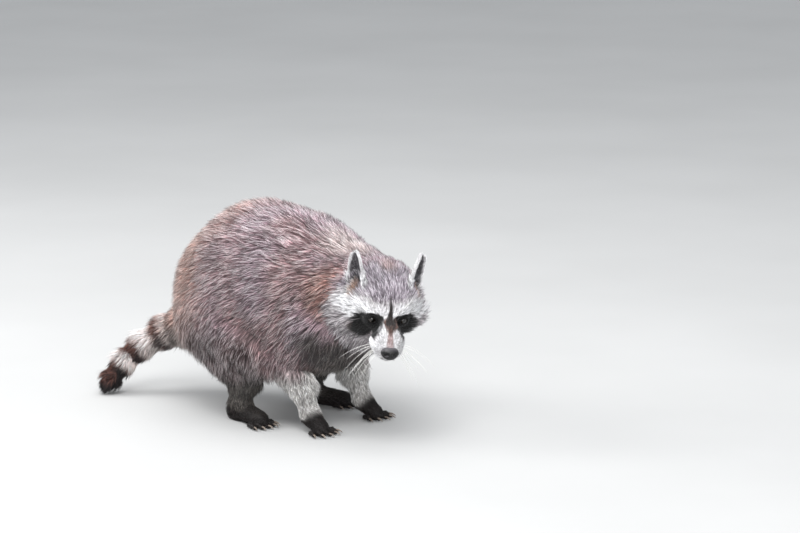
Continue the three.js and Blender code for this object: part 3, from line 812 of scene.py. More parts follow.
def coat_styles(points):
    """Each point's colours and its share of pale tips, as rows of LINEAR_STYLES."""
    m = Markings(points)
    for mark in (mark_trunk, mark_legs, mark_tail, mark_head, mark_mask, mark_stripe, mark_ears):
        mark(m)
    return m.rows


# ---------- Lie of the coat, and its tufts ----------
ALL_BONES = [*spine, *tail, *head, *(bone for leg in LEGS.values() for bone in leg[0]), *TOES]
NOSE_TIP = on_head(58, 0, -16)
DOWN = np.array([0, 0, -1.0])


def lie_of(points, normals, depth):
    """The way that the coat lies at each point, along the skin."""
    distances = columns(*(cone_distance(points, b[0], b[1] - b[2], b[3], b[4] - b[5]) for b in ALL_BONES))
    reach = np.interp(depth, (2, 9, 14), (8, 14, 26))[:, None]
    weights = np.exp(-(distances - distances.min(axis=1, keepdims=True)) / reach)
    from_nose = unit(points - NOSE_TIP)
    flow = np.zeros_like(points)
    for i, bone in enumerate(ALL_BONES):
        along = unit(bone[3] - bone[0]) * bone[6] if bone[6] else from_nose
        flow += weights[:, i : i + 1] * along
    flow = unit(flow)
    forward, up = -points[:, 1], points[:, 2]
    trunk = fade(60 - up, 40) * fade(forward - 150, 60)
    sag = trunk * np.interp(forward, (-180, -60, 40, 120), (0.55, 0.45, 0.5, 0.9))
    flow += sag[:, None] * DOWN
    for side in (-1, 1):
        centre, _ = eye_frame(side)
        away = points - centre
        near = fade(length_of(away) - 12, 12)
        flow += 1.6 * near[:, None] * unit(away)
        own = ear_own(points, side)
        on_ear = fade(ear_field(points, side) - 2, 2) * fade(3 - own[:, 2], 8)
        _, axes = ear_frame(side)
        rise = axes[2] + np.sign(own[:, :1]) * axes[0] * 0.12
        flow = flow * (1 - on_ear[:, None]) + rise * on_ear[:, None]
    flow += 0.22 * drift(points, 34, 21) + 0.10 * drift(points, 9, 22)
    flow -= normals * np.einsum("ij,ij->i", flow, normals)[:, None]
    return unit(flow)


def roots_on(points, faces, spacing):
    """Random places on triangles, about `spacing` apart: (face, corner weights)."""
    a, b, c = (points[faces[:, i]] for i in range(3))
    areas = length_of(np.cross(b - a, c - a)) / 2
    counts = RANDOM.poisson(areas / spacing[faces].mean(axis=1) ** 2)
    face = np.repeat(np.arange(len(faces)), counts)
    u, v = np.sqrt(RANDOM.random(len(face))), RANDOM.random(len(face))
    return face, columns(1 - u, u * (1 - v), u * v)


SIDES = 3
GUARD_RINGS = ((0.0, 1.0), (0.5, 0.85))  # (share of the length, share of the width)
UNDER_RINGS = ((0.0, 1.0),)
ROOT_SINK = 0.8
UV_PATCH = 0.003


def tuft_faces(rings):
    """Faces of a closed three-sided tuft with some rings and a tip."""
    tip = SIDES * rings
    faces = [(0, 1, 2)]
    for ring in range(rings):
        for a, b in ((0, 2), (2, 1), (1, 0)):
            low_a, low_b = SIDES * ring + a, SIDES * ring + b
            if ring == rings - 1:
                faces.append((low_a, low_b, tip))
            else:
                faces += [(low_a, low_b, low_b + SIDES), (low_a, low_b + SIDES, low_a + SIDES)]
    return np.array(faces)


def tuft_group(rings, tufts, colours):
    """Corner arrays of tufts. `tufts` has an array for each quality, `colours` one for each station."""
    count, corners = len(tufts["root"]), SIDES * len(rings) + 1
    normal, lie, width = tufts["normal"], tufts["lie"], tufts["width"]
    across = np.cross(normal, lie)
    rise = tufts["rise"][:, None]
    scale = tufts["length"][:, None]

    def middle_line(share):
        step = lie * np.sqrt(1 - rise**2) * share + normal * rise * (1 - (1 - share) ** 1.7)
        return tufts["root"] + scale * (step + tufts["sway"] * share**2)

    points = np.empty((count, corners, 3))
    shades = np.empty((count, corners, 3))
    for ring, (share, wide) in enumerate(rings):
        half = (width * wide / 2)[:, None]
        station = middle_line(share) - normal * ROOT_SINK * (share == 0)
        points[:, SIDES * ring] = station + across * half
        points[:, SIDES * ring + 1] = station - across * half
        points[:, SIDES * ring + 2] = station + normal * half * 0.9
        shades[:, SIDES * ring : SIDES * ring + SIDES] = colours[ring][:, None]
    points[:, -1] = middle_line(1.0)
    shades[:, -1] = colours[-1]
    points[..., 2] = np.maximum(points[..., 2], SOLE_HEIGHT)
    shares = np.array([share for share, _ in rings for _ in range(SIDES)] + [1.0])
    around = np.array([0, 1, 0.5] * len(rings) + [0.5])
    strand = np.empty((count, corners, 3))
    strand[..., 0] = around * width[:, None]
    strand[..., 1] = shares * scale * 0.08
    strand[..., 2] = RANDOM.random((count, 1)) * 900
    patch = (columns(shares, around) - 0.5) * UV_PATCH
    places = tufts["uv"][:, None] + patch
    faces = tuft_faces(len(rings))[None] + corners * np.arange(count)[:, None, None]
    flat = (a.reshape(-1, a.shape[-1]) for a in (points, shades, strand, places, faces))
    return tuple(flat)


def tuft_piece(name, material, *groups):
    points, shades, strand, places, faces = ([group[i] for group in groups] for i in range(5))
    first = np.cumsum([0] + [len(p) for p in points[:-1]])
    faces = np.concatenate([f + start for f, start in zip(faces, first)])
    piece = new_piece(name, material, "fur", np.concatenate(points), faces)
    set_hair_colours(piece, np.clip(np.concatenate(shades), 0, 1))
    set_attribute(piece, "strand", "vector", np.concatenate(strand))
    layer = piece.data.uv_layers.new(name="OFBake")
    layer.data.foreach_set("uv", np.concatenate(places)[faces.ravel()].astype(np.float32).ravel())


# ---------- Materials ----------
class Nodes:
    """A material's node tree, with short ways to add and link nodes."""

    def __init__(self, name):
        self.material = bpy.data.materials.new(name)
        self.material.use_nodes = True
        self.tree = self.material.node_tree
        self.shader = self.tree.nodes["Principled BSDF"]

    def add(self, kind, inputs=None, **settings):
        node = self.tree.nodes.new("ShaderNode" + kind)
        for key, value in settings.items():
            setattr(node, key, value)
        for key, value in (inputs or {}).items():
            self.set(node.inputs[key], value)
        return node

    def set(self, socket, value):
        if isinstance(value, bpy.types.NodeSocket):
            self.tree.links.new(value, socket)
        else:
            socket.default_value = value

    def shade(self, **values):
        for key, value in values.items():
            self.set(self.shader.inputs[key.replace("_", " ")], value)

    def ramp(self, factor, stops):
        node = self.add("ValToRGB", {"Fac": factor})
        for i, (place, value) in enumerate(stops):
            stop = node.color_ramp.elements[i] if i < 2 else node.color_ramp.elements.new(place)
            stop.position = place
            stop.color = (*((value,) * 3 if isinstance(value, (int, float)) else value), 1)
        return node.outputs["Color"]

    def attribute(self, name, output):
        return self.add("Attribute", attribute_name=name).outputs[output]

    def place(self):
        return self.add("TexCoord").outputs["Object"]

    def noise(self, vector, scale, detail):
        node = self.add("TexNoise", {"Vector": vector, "Scale": scale, "Detail": detail})
        return node.outputs["Fac"]

    def mottle(self, vector, scale, low, high, detail=2.0):
        """Noise between two values or two colours."""
        return self.ramp(self.noise(vector, scale, detail), ((0.3, low), (0.7, high)))

    def multiply(self, colour, factor):
        node = self.add("Mix", {"Factor": 1.0}, data_type="RGBA", blend_type="MULTIPLY")
        self.set(node.inputs[6], colour)
        self.set(node.inputs[7], factor)
        return node.outputs[2]

    def bump(self, height, strength, distance):
        node = self.add("Bump", {"Height": height, "Strength": strength, "Distance": distance})
        return node.outputs["Normal"]


def coat_material():
    m = Nodes("coat")
    hair = m.attribute("hair", "Color")
    strand = m.attribute("strand", "Vector")
    place = m.place()
    streak = m.mottle(strand, 2.6, 0.78, 1.22, 3.0)
    patches = m.ramp(m.noise(place, 34.0, 4.0), ((0.32, 0.80), (0.68, 1.14)))
    m.shade(Base_Color=m.multiply(m.multiply(hair, streak), patches))
    m.shade(Roughness=m.mottle(place, 60.0, 0.52, 0.68))
    m.shade(Sheen_Weight=0.10, Sheen_Roughness=0.45, Specular_IOR_Level=0.35)
    return m.material


def skin_material():
    m = Nodes("skin")
    hair = m.attribute("hair", "Color")
    place = m.place()
    mottle = m.mottle(place, 240.0, 0.72, 1.15, 4.0)
    m.shade(Base_Color=m.multiply(hair, mottle), Specular_IOR_Level=0.3)
    m.shade(Roughness=m.mottle(place, 90.0, 0.55, 0.8))
    m.shade(Normal=m.bump(m.noise(place, 900.0, 3.0), 0.35, 0.0006))
    return m.material


def eye_material():
    """Rings by the angle from the eye's axis: pupil, iris, dark limbus and brown white."""
    m = Nodes("eye")
    polar = m.attribute("polar", "Fac")
    place = m.attribute("spoke", "Vector")
    colours = (
        (0.0, (0.002, 0.002, 0.002)),
        (0.17, (0.002, 0.002, 0.002)),
        (0.20, (0.010, 0.007, 0.005)),
        (0.42, (0.016, 0.011, 0.007)),
        (0.47, (0.004, 0.003, 0.003)),
        (0.62, (0.030, 0.022, 0.018)),
    )
    rings = m.ramp(polar, colours)
    fibres = m.mottle(place, 14.0, 0.55, 1.5, 3.0)
    m.shade(Base_Color=m.multiply(rings, fibres))
    m.shade(Roughness=m.mottle(place, 3.0, 0.10, 0.2))
    m.shade(Coat_Weight=0.6, Coat_Roughness=0.03, Specular_IOR_Level=0.35)
    return m.material


def nose_material():
    m = Nodes("nose")
    place = m.place()
    cells = m.add("TexVoronoi", {"Vector": place, "Scale": 1100.0}).outputs["Distance"]
    tone = m.mottle(place, 160.0, (0.6, 0.6, 0.6), (1.4, 1.35, 1.4), 3.0)
    # Painted highlight and shade: the pad is painted light grey where it faces up and black where it faces
    # down, as if lit from above.
    facing = m.add("SeparateXYZ", {"Vector": m.add("NewGeometry").outputs["Normal"]}).outputs["Z"]
    upper = m.ramp(facing, ((0.25, (0.003, 0.003, 0.003)), (0.95, (0.075, 0.070, 0.076))))
    m.shade(Base_Color=m.multiply(upper, tone), Specular_IOR_Level=0.35)
    m.shade(Roughness=m.mottle(place, 300.0, 0.24, 0.38))
    m.shade(Normal=m.bump(cells, 0.5, 0.0004), Coat_Weight=0.15, Coat_Roughness=0.2)
    return m.material


def claw_material():
    m = Nodes("claw")
    place = m.place()
    tone = m.mottle(place, 220.0, (0.10, 0.075, 0.06), (0.26, 0.21, 0.17), 2.0)
    m.shade(Base_Color=tone, Specular_IOR_Level=0.5)
    m.shade(Roughness=m.mottle(place, 500.0, 0.28, 0.45))
    return m.material


def mottled_material(name, scale, low, high, detail=2.0, **shading):
    """A material with a colour between two, and the shader's other values."""
    m = Nodes(name)
    m.shade(Base_Color=m.mottle(m.place(), scale, low, high, detail), **shading)
    return m.material


# ---------- Skin ----------
SKIN_CELL = 1.25
SKIN_ADAPTIVITY = 0.02
SKIN_MARGIN = 8.0


def make_skin():
    low = np.array(cad_low) / MM - SHIFT - SKIN_MARGIN
    high = np.array(cad_high) / MM - SHIFT + SKIN_MARGIN
    points, triangles, quads = polygons_of(skin_field, low, high, SKIN_CELL, SKIN_ADAPTIVITY)
    skin = new_piece("skin", skin_material(), "fur", points, triangles, quads)
    rows = coat_styles(points)
    under, band = rows[:, 0:3], rows[:, 3:6]
    set_hair_colours(skin, under * 0.75 + band * 0.2)
    flesh_nodes = [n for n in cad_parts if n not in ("right_eye", "left_eye", "nose")]
    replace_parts(skin, *flesh_nodes)
    return points, np.concatenate([triangles, quads[:, (0, 1, 2)], quads[:, (0, 2, 3)]])


# ---------- Coat ----------
# Where the coat is divided into pieces.
RUMP_END, FLANK_END, BETWEEN_LEGS = -62, 28, 20
HIND_LEG_TOP, FORE_LEG_TOP = 82, 92
HEAD_BACK, HEAD_MIDDLE, HEAD_REACH, FACE_START = -66, (-30, 0, 0), 92, -6
TAIL_PIECE_START, TAIL_PIECE_REACH = 62, 60


def region_of(points):
    """The coat piece that each point belongs to."""
    own = in_head(points)
    left, back, up = points.T
    forward = -back
    place, away, _ = along_tail(points)
    front = np.where(forward < FLANK_END, "flank", "shoulder")
    region = np.where(forward < RUMP_END, "rump", front).astype("<U16")
    region[(up < HIND_LEG_TOP) & (forward < BETWEEN_LEGS)] = "hind_leg"
    region[(up < FORE_LEG_TOP) & (forward > BETWEEN_LEGS)] = "fore_leg"
    on_head_part = (own[:, 0] > HEAD_BACK) & (ball(own, HEAD_MIDDLE, HEAD_REACH) < 0)
    region[on_head_part] = "head"
    side = np.where(on_head_part, own[:, 1], left)
    region = np.char.add(region, np.where(side < 0, "_right", "_left"))
    region[(place > TAIL_PIECE_START) & (away < TAIL_PIECE_REACH)] = "tail"
    region[on_head_part & (own[:, 0] > FACE_START)] = "face"
    return region


UNWRAP_ANGLE, UNWRAP_MARGIN = math.radians(66), 0.004


def unwrap(name, points, faces):
    """UV places of the corners of some skin faces, on an unwrap of their own shape."""
    used, index = np.unique(faces, return_inverse=True)
    mesh = new_mesh("unwrap_" + name, points[used], index.reshape(-1, 3))
    holder = linked("unwrap_" + name, mesh)
    bpy.context.view_layer.objects.active = holder
    holder.select_set(True)
    mesh.uv_layers.new(name="OFBake")
    bpy.ops.object.mode_set(mode="EDIT")
    bpy.ops.mesh.select_all(action="SELECT")
    bpy.ops.uv.smart_project(angle_limit=UNWRAP_ANGLE, island_margin=UNWRAP_MARGIN)
    bpy.ops.object.mode_set(mode="OBJECT")
    corners = np.empty(len(mesh.loops) * 2, np.float32)
    mesh.uv_layers["OFBake"].data.foreach_get("uv", corners)
    bpy.data.objects.remove(holder)
    bpy.data.meshes.remove(mesh)
    return corners.reshape(-1, 3, 2)


# How far apart tufts stand, by the depth of the coat there.
DEPTHS = (0.8, 2.0, 5.0, 9.0, 15.0)
GUARD_SPACING = (1.0, 1.0, 1.25, 1.6, 2.05)
UNDER_SPACING = (0.62, 0.62, 1.15, 1.5, 1.9)
LEG_GUARD_SPACING = (1.8, 1.8, 1.7, 1.7, 2.05)
LEG_UNDER_SPACING = (1.15, 1.15, 1.4, 1.6, 1.9)
LEAST_DEPTH, MOST_DEPTH = 0.6, 20
# By COAT_DEPTHS: how far a tuft's tip stands out, how wide it is, and how much its lock gathers it in.
COAT_DEPTHS = (0.8, 3.0, 9.0, 15.0)
RISES = (0.28, 0.32, 0.40, 0.42)
WIDTHS = (0.55, 0.8, 1.15, 1.45)
GATHERING = (0.0, 0.0, 0.38, 0.50)
GUARD_SHARES, UNDER_SHARES = (0.74, 1.0), (0.52, 0.76)  # of the coat's depth that a tuft reaches through
SHORTEST, LONGEST, STEEPEST = 1.8, 44, 0.75
STRAY_SHARE, LOOSE_SHARE, STRAY_DEPTH = 0.05, 0.12, 4  # hairs that stand out of their lock
LIE_SCATTER, RISE_SCATTER, TONE_SCATTER = 0.09, 0.12, 0.15
LOCK_TONE, LOCK_PALENESS = 0.09, 0.12  # how much the locks differ
LOCK_SIZE = 9.5
CELL_KEY = (1, 1009, 1009**2)  # makes one number of a cell's three
REACH = np.array(cad_high) / MM + 10.0  # no hair stands out further


def locks_of(roots):
    """The lock of hair that each root belongs to."""
    moved = roots + LOCK_SIZE * 0.6 * drift(roots, LOCK_SIZE * 1.6, 31)
    cell = np.floor(moved / LOCK_SIZE).astype(int)
    return np.unique(cell @ np.array(CELL_KEY), return_inverse=True)[1]


def planted(region, chosen, values):
    """The roots of a piece's tufts, guard hairs first: (roots, which are guard hairs)."""
    tables = (LEG_GUARD_SPACING, LEG_UNDER_SPACING) if "leg" in region else (GUARD_SPACING, UNDER_SPACING)
    closer = 0.85 if region == "tail" else 1.0
    points = values["point"]
    groups = [roots_on(points, chosen, closer * np.interp(values["depth"], DEPTHS, t)) for t in tables]
    face, weights = (np.concatenate([group[i] for group in groups]) for i in range(2))
    picked = chosen[face]
    roots = {key: np.einsum("ij,ij...->i...", weights, array[picked]) for key, array in values.items()}
    corners = unwrap(region, points, chosen)
    roots["uv"] = np.einsum("ij,ijk->ik", weights, corners[face])
    return roots, np.arange(len(face)) < len(groups[0][0])


def shaped(roots, guard):
    """(tufts, tone and paleness of each tuft's lock): how long, wide, raised and swept each tuft is."""
    root, normal, depth = roots["point"], unit(roots["normal"]), roots["depth"]
    across = np.cross(normal, unit(roots["lie"]))
    count = len(root)
    lie = unit(roots["lie"] + across * RANDOM.normal(0, LIE_SCATTER, (count, 1)))
    lock = locks_of(root)
    lock_tone, lock_pale, lock_sway = RANDOM.normal(0, 1, (3, lock.max() + 1))

    loose = fade(-root[:, 1] + 112, 40)  # the rump and the backs of the thighs
    stray = guard & (RANDOM.random(count) < STRAY_SHARE + LOOSE_SHARE * loose) & (depth > STRAY_DEPTH)
    rise = np.interp(depth, COAT_DEPTHS, RISES) * np.exp(RANDOM.normal(0, RISE_SCATTER, count))
    rise = np.minimum(rise * np.where(stray, 1.15, 1), STEEPEST)
    share = np.where(guard, *(RANDOM.uniform(*ends, count) for ends in (GUARD_SHARES, UNDER_SHARES)))
    length = np.clip(depth * share / rise * np.where(stray, 1.12, 1), SHORTEST, LONGEST)
    outward = (lie + normal * rise[:, None]) * np.sign(root + SHIFT)
    room = REACH - np.abs(root + SHIFT)
    room = np.where(outward > 0.05, room / np.maximum(outward, 0.05), 100).min(axis=1)
    length = np.minimum(length, np.maximum(room, 3))
    width = np.interp(depth, COAT_DEPTHS, WIDTHS)
    width = width * RANDOM.uniform(0.7, 1.15, count) * np.where(guard, np.where(stray, 0.7, 1), 1.2)

    tip = root + lie * length[:, None]
    members = np.bincount(lock)
    middle = columns(*(np.bincount(lock, tip[:, a]) / members for a in range(3)))
    hold = np.interp(depth, COAT_DEPTHS, GATHERING) * np.where(stray, 0.3, 1)
    pull = (middle[lock] - tip) * (hold / length)[:, None]
    limp = np.interp(depth, (2.0, 9.0), (0.0, 0.12))[:, None]
    sway = pull + across * limp * (lock_sway[lock][:, None] + 0.6 * RANDOM.normal(0, 1, (count, 1)))
    tufts = {"root": root, "normal": normal, "lie": lie, "length": length, "width": width}
    tufts |= {"rise": rise, "sway": sway, "uv": roots["uv"]}
    return tufts, lock_tone[lock][:, None], lock_pale[lock][:, None]


def coloured(tufts, depth, lock_tone, lock_pale):
    """Colours for the stations of guard hairs and of underfur, by the markings where each tuft shows."""
    count = len(depth)
    onward = (tufts["length"] * np.interp(depth, (1.3, 2.2), (0.15, 0.8)))[:, None]
    way = tufts["lie"] + tufts["normal"] * tufts["rise"][:, None] * 0.8 + tufts["sway"] * 0.5
    style = in_chunks(coat_styles, tufts["root"] + onward * way)
    under, band, pale, dark, pale_share = np.split(style, (3, 6, 9, 12), axis=1)
    tone = np.exp(RANDOM.normal(0, TONE_SCATTER, (count, 1)) + LOCK_TONE * lock_tone)
    is_pale = RANDOM.random((count, 1)) < pale_share + LOCK_PALENESS * lock_pale
    root_colour = under * 0.8 * tone
    middle_colour = band * np.where(is_pale, 1.18, 0.60) * tone
    tip_colour = np.where(is_pale, pale, dark) * tone
    soft_colour = (band * 0.72 + under * 0.18) * tone
    return (root_colour, middle_colour, tip_colour), (root_colour, soft_colour)


def make_region(region, chosen, values, material):
    """One piece of the coat: soft underfur, and guard hairs with pale or dark tips."""
    roots, guard = planted(region, chosen, values)
    tufts, lock_tone, lock_pale = shaped(roots, guard)
    guard_colours, under_colours = coloured(tufts, roots["depth"], lock_tone, lock_pale)
    made = []
    for ones, rings, colours in ((guard, GUARD_RINGS, guard_colours), (~guard, UNDER_RINGS, under_colours)):
        part = {key: array[ones] for key, array in tufts.items()}
        made.append(tuft_group(rings, part, [colour[ones] for colour in colours]))
    tuft_piece("coat_" + region, material, *made)


def make_coat(points, faces):
    material = coat_material()
    depth = np.clip(-in_chunks(coat_field, points), LEAST_DEPTH, MOST_DEPTH)
    normal = slope(skin_field, points)
    lie = in_chunks(lie_of, points, normal, depth)
    values = {"point": points, "depth": depth, "normal": normal, "lie": lie}
    regions = region_of(points[faces].mean(axis=1))
    haired = bare_share(points, normal)[faces].mean(axis=1) < 0.5
    for region in sorted(set(regions)):
        make_region(region, faces[(regions == region) & haired], values, material)


def bare_share(points, normals):
    """1 where the skin is bare: the soles, under the nose pad and inside the lids."""
    bare = fade(points[:, 2] - 2.2, 2) * (normals[:, 2] < -0.2)
    for side in (-1, 1):
        own = in_eye(points, side)
        near = fade(length_of(own) - EYE_RADIUS - LID_THICKNESS - 0.4, 0.8)
        bare = np.maximum(bare, near * fade(lid_gap(own, 0.8, 0.9), 0.6) * (own[:, 0] > 0))
    nose = length_of((in_head(points) - NOSE_CENTRE) / (8.6, 12.2, 8.8)) - 1
    return np.maximum(bare, fade(nose, 0.1))


# ---------- Eyes, nose, claws and whiskers ----------
EYE_RINGS, EYE_SPOKES = 40, 64
CORNEA_RISE, CORNEA_ANGLE = 0.8, 0.62
RAMP_ANGLE = 1.3  # the angle from the eye's axis where the ramp of its colours ends


def eyeball():
    """(angles from the axis, angles round it, triangles, quads) of a ball with a point at each pole."""
    j = np.arange(EYE_SPOKES)
    rows = grid_of(np.linspace(0, math.pi, EYE_RINGS + 1)[1:-1], 2 * math.pi * j / EYE_SPOKES)
    polar, around = np.concatenate([[(0, 0)], rows, [(math.pi, 0)]]).T

    def ring(i, j):
        return 1 + i * EYE_SPOKES + j % EYE_SPOKES

    last = EYE_RINGS - 2
    front = columns(0 * j, ring(0, j), ring(0, j + 1))
    back = columns(0 * j + len(polar) - 1, ring(last, j + 1), ring(last, j))
    steps = ((0, 0), (1, 0), (1, 1), (0, 1))
    quads = [columns(*(ring(i + down, j + over) for down, over in steps)) for i in range(last)]
    return polar, around, np.concatenate([front, back]), np.concatenate(quads)


def make_eyes():
    material = eye_material()
    polar, around, triangles, quads = eyeball()
    radius = EYE_RADIUS + CORNEA_RISE * np.clip(1 - (polar / CORNEA_ANGLE) ** 2, 0, 1)
    out = radius * np.sin(polar)
    local = columns(radius * np.cos(polar), out * np.cos(around), out * np.sin(around))
    spoke = columns(np.cos(around) * 4, np.sin(around) * 4, polar * 2)
    for name, side in (("right", -1), ("left", 1)):
        centre, _ = eye_frame(side)
        gaze = unit(head_direction(1.0, side * 0.06 + 0.27, 0.16))
        across = unit(np.cross(head_direction(0, 0, 1), gaze))
        axes = np.stack([gaze, across, np.cross(gaze, across)])
        eye = new_piece(f"{name}_eyeball", material, "eye", centre + local @ axes, triangles, quads)
        set_attribute(eye, "polar", "value", polar / RAMP_ANGLE)
        set_attribute(eye, "spoke", "vector", spoke)
        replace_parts(eye, f"{name}_eye")


NOSE_CELL = 0.45
NOSE_TILT = -14.0
NOSE_HALF = (8.6, 12.6, 9.0)  # ahead, sideways and up
NOSE_POWER = 2.3  # how square the pad is


def nose_field(points):
    own = in_head(points) - NOSE_CENTRE
    tilt = math.radians(NOSE_TILT)
    ahead = own[:, 0] * math.cos(tilt) - own[:, 2] * math.sin(tilt)
    high = own[:, 0] * math.sin(tilt) + own[:, 2] * math.cos(tilt)
    side = np.abs(own[:, 1])
    narrow = 1 - 0.30 * np.clip(-high / 9, 0, 1)
    long, wide, tall = NOSE_HALF
    scaled = columns(ahead / long, side / (wide * narrow), high / tall)
    pad = (np.sum(np.abs(scaled) ** NOSE_POWER, axis=1) ** (1 / NOSE_POWER) - 1) * long
    mirrored = columns(ahead, side, high)
    nostril = cone_distance(mirrored, np.array([8.4, 4.4, 0.0]), 2.4, np.array([4.4, 11.0, -3.0]), 1.2)
    pad = smooth_max(pad, -nostril, 1.4)
    groove = cone_distance(mirrored, np.array([9.6, 0.0, -1.5]), 0.5, np.array([6.0, 0.0, -10.0]), 0.8)
    return smooth_max(pad, -groove, 1.2)


def make_nose():
    reach = np.array([16.0, 16.0, 14.0])
    centre = on_head(*NOSE_CENTRE)
    surface = polygons_of(nose_field, centre - reach, centre + reach, NOSE_CELL)
    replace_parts(new_piece("nose_pad", nose_material(), "nose", *surface), "nose")


def tubes(lines, sides):
    """(points, faces) of closed tubes. A line is (centres, radii), and all have as many stations."""
    centres = np.stack([line for line, _ in lines])
    radii = np.stack([radius for _, radius in lines])
    along = unit(np.gradient(centres, axis=1))
    across = unit(np.cross(along, np.array([0.13, 0.21, 1.0])))
    over = np.cross(along, across)
    angle = 2 * math.pi * np.arange(sides) / sides
    ring = np.cos(angle)[:, None] * across[:, :, None] + np.sin(angle)[:, None] * over[:, :, None]
    points = centres[:, :, None] + ring * radii[:, :, None, None]
    count, stations = radii.shape
    i, j = grid_of(np.arange(stations - 1), np.arange(sides)).T
    k = (j + 1) % sides
    quads = columns(i * sides + j, i * sides + k, (i + 1) * sides + k, (i + 1) * sides + j)
    steps = stations * sides * np.arange(count)[:, None, None]
    quads = (quads[None] + steps).reshape(-1, 4)
    ends = np.stack([np.arange(sides)[::-1], (stations - 1) * sides + np.arange(sides)])
    return points.reshape(-1, 3), quads, (ends[None] + steps).reshape(-1, sides)


CLAW_ROOT = 2.0, 1.1  # how far a claw starts behind the digit's tip, and above it
CLAW_HIDDEN = 2.5  # of its length, inside the digit
CLAW_ARCH, CLAW_DROP = 1.2, 3.6
CLAW_RADIUS, CLAW_POINT = 1.55, 0.12
CLAW_CLEARANCE = 0.6
CLAW_STATIONS, CLAW_SIDES = 9, 8


def make_claws():
    material = claw_material()
    stations = np.linspace(0, 1, CLAW_STATIONS)
    behind, above = CLAW_ROOT
    for name, leg in LEGS.items():
        lines = []
        for _, _, tip, heading in digits_of(leg):
            root = tip - heading * behind + at(0, 0, above)
            reach = CLAW_LENGTH + CLAW_HIDDEN
            height = CLAW_ARCH * np.sin(stations * math.pi * 0.8) - CLAW_DROP * stations**2
            line = root + heading * (stations * reach)[:, None] + np.outer(height, (0, 0, 1))
            line[:, 2] = np.maximum(line[:, 2], CLAW_CLEARANCE)
            lines.append((line, CLAW_RADIUS * (1 - stations) ** 0.6 + CLAW_POINT))
        new_piece(f"{name}_claws", material, "claw", *tubes(lines, CLAW_SIDES))


WHISKER_STATIONS, WHISKER_SIDES = 14, 5
WHISKER_RADII, BROW_RADII = (0.32, 0.06), (0.24, 0.05)  # at the root and at the tip


def whisker(root, out, sunk, length, bend, radii):
    """(centres, radii) of a hair that leaves the skin along `out` and bends over by `bend`."""
    stations = np.linspace(0, 1, WHISKER_STATIONS)
    thick, thin = radii
    line = root - out * sunk + np.outer(stations, out) * length + np.outer(stations**2, bend)
    return line, thick * (1 - stations) ** 0.7 + thin


def make_whiskers():
    lines = []
    for side in (-1, 1):
        for row, place in np.ndindex(3, 3):
            root = on_head(38 - 5 * place, side * (12 + 2.2 * place), -19 - 3.2 * row - 0.6 * place)
            length = (44 + 8 * place - 3 * row) * RANDOM.uniform(0.85, 1.15)
            out = head_direction(0.10 - 0.24 * place, side * (0.85 + 0.05 * place), -0.25 - 0.35 * row)
            out = unit(out + RANDOM.normal(0, 0.08, 3))
            droop = DOWN * length * RANDOM.uniform(0.3, 0.5)
            lines.append(whisker(root, out, 3, length, droop, WHISKER_RADII))
        for place in range(3):
            root = on_head(6 - 3 * place, side * (14 + 4 * place), 17 + place)
            out = unit(head_direction(0.3, side * 0.5, 0.9) + RANDOM.normal(0, 0.1, 3))
            sweep = head_direction(-0.8, side * 0.3, 0) * 7
            lines.append(whisker(root, out, 2, RANDOM.uniform(22, 30), sweep, BROW_RADII))
    material = mottled_material("whisker", 60.0, (0.72, 0.71, 0.68), (0.92, 0.91, 0.88), Roughness=0.4)
    new_piece("whiskers", material, "whisker", *tubes(lines, WHISKER_SIDES))


# ---------- Floor, light and camera ----------
FLOOR_SIZE = 60
SKY_COLOUR, SKY_STRENGTH = (0.93, 0.96, 1.0, 1), 0.8
LAMPS = (  # (name, place, size, power), in metres and watts
    ("key", (-1.5, -0.9, 2.4), 1.6, 57),
    ("top", (0.2, 0.3, 2.8), 2.4, 42),
    ("front", (-1.7, -2.5, 1.1), 1.8, 37),
    ("rear", (-1.4, 2.0, 1.5), 1.2, 42),
)
LAMP_TARGET = Vector((0, 0, 0.15))
SENSOR_WIDTH = 36
CLIP_END = 200


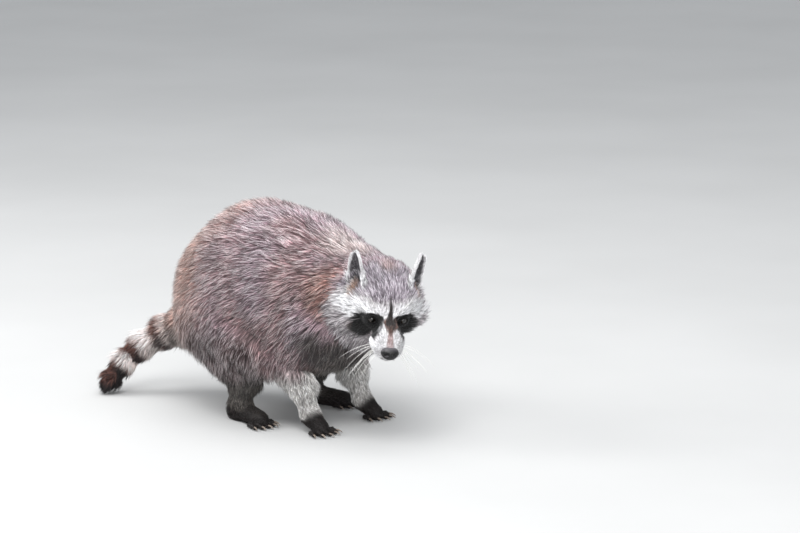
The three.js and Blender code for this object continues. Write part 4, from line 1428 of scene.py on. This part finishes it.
def make_studio():
    bpy.ops.mesh.primitive_plane_add(size=FLOOR_SIZE, location=(0, 0, 0))
    floor = bpy.context.object
    floor.name = "floor"
    grey = mottled_material("floor", 2.0, (0.46, 0.46, 0.455), (0.49, 0.49, 0.485), 4.0, Roughness=0.85)
    floor.data.materials.append(grey)
    world = bpy.data.worlds.new("studio")
    bpy.context.scene.world = world
    world.use_nodes = True
    background = world.node_tree.nodes["Background"]
    background.inputs["Color"].default_value = SKY_COLOUR
    background.inputs["Strength"].default_value = SKY_STRENGTH
    for name, place, size, power in LAMPS:
        lamp = bpy.data.lights.new(name, "AREA")
        lamp.size = size
        lamp.energy = power
        holder = linked(name, lamp)
        holder.location = place
        aim = LAMP_TARGET - Vector(place)
        holder.rotation_mode = "QUATERNION"
        holder.rotation_quaternion = aim.to_track_quat("-Z", "Y")
    bpy.context.scene.view_settings.view_transform = "Standard"


def make_camera():
    azimuth, elevation = math.radians(CAMERA_AZIMUTH), math.radians(CAMERA_ELEVATION)
    right = np.array([math.cos(azimuth), math.sin(azimuth), 0])
    back = np.array([math.sin(azimuth), -math.cos(azimuth), 0]) * math.cos(elevation)
    back[2] = math.sin(elevation)
    up = np.cross(back, right)
    middle = right * (IMAGE_WIDTH / 2 - FLOOR_PIXEL[0]) - up * (IMAGE_HEIGHT / 2 - FLOOR_PIXEL[1])
    eye = middle * MM_PER_PIXEL + back * CAMERA_DISTANCE
    camera = bpy.data.cameras.new("camera")
    camera.sensor_width = SENSOR_WIDTH
    camera.lens = SENSOR_WIDTH * CAMERA_DISTANCE / MM_PER_PIXEL / IMAGE_WIDTH
    camera.clip_end = CLIP_END
    holder = linked("camera", camera)
    turned = Matrix([Vector(v) for v in (right, up, back)]).transposed()
    holder.matrix_world = Matrix.Translation(Vector((eye + SHIFT) * MM)) @ turned.to_4x4()
    bpy.context.scene.camera = holder


make_camera()
make_studio()
skin_points, skin_faces = make_skin()
make_coat(skin_points, skin_faces)
make_eyes()
make_nose()
make_claws()
make_whiskers()
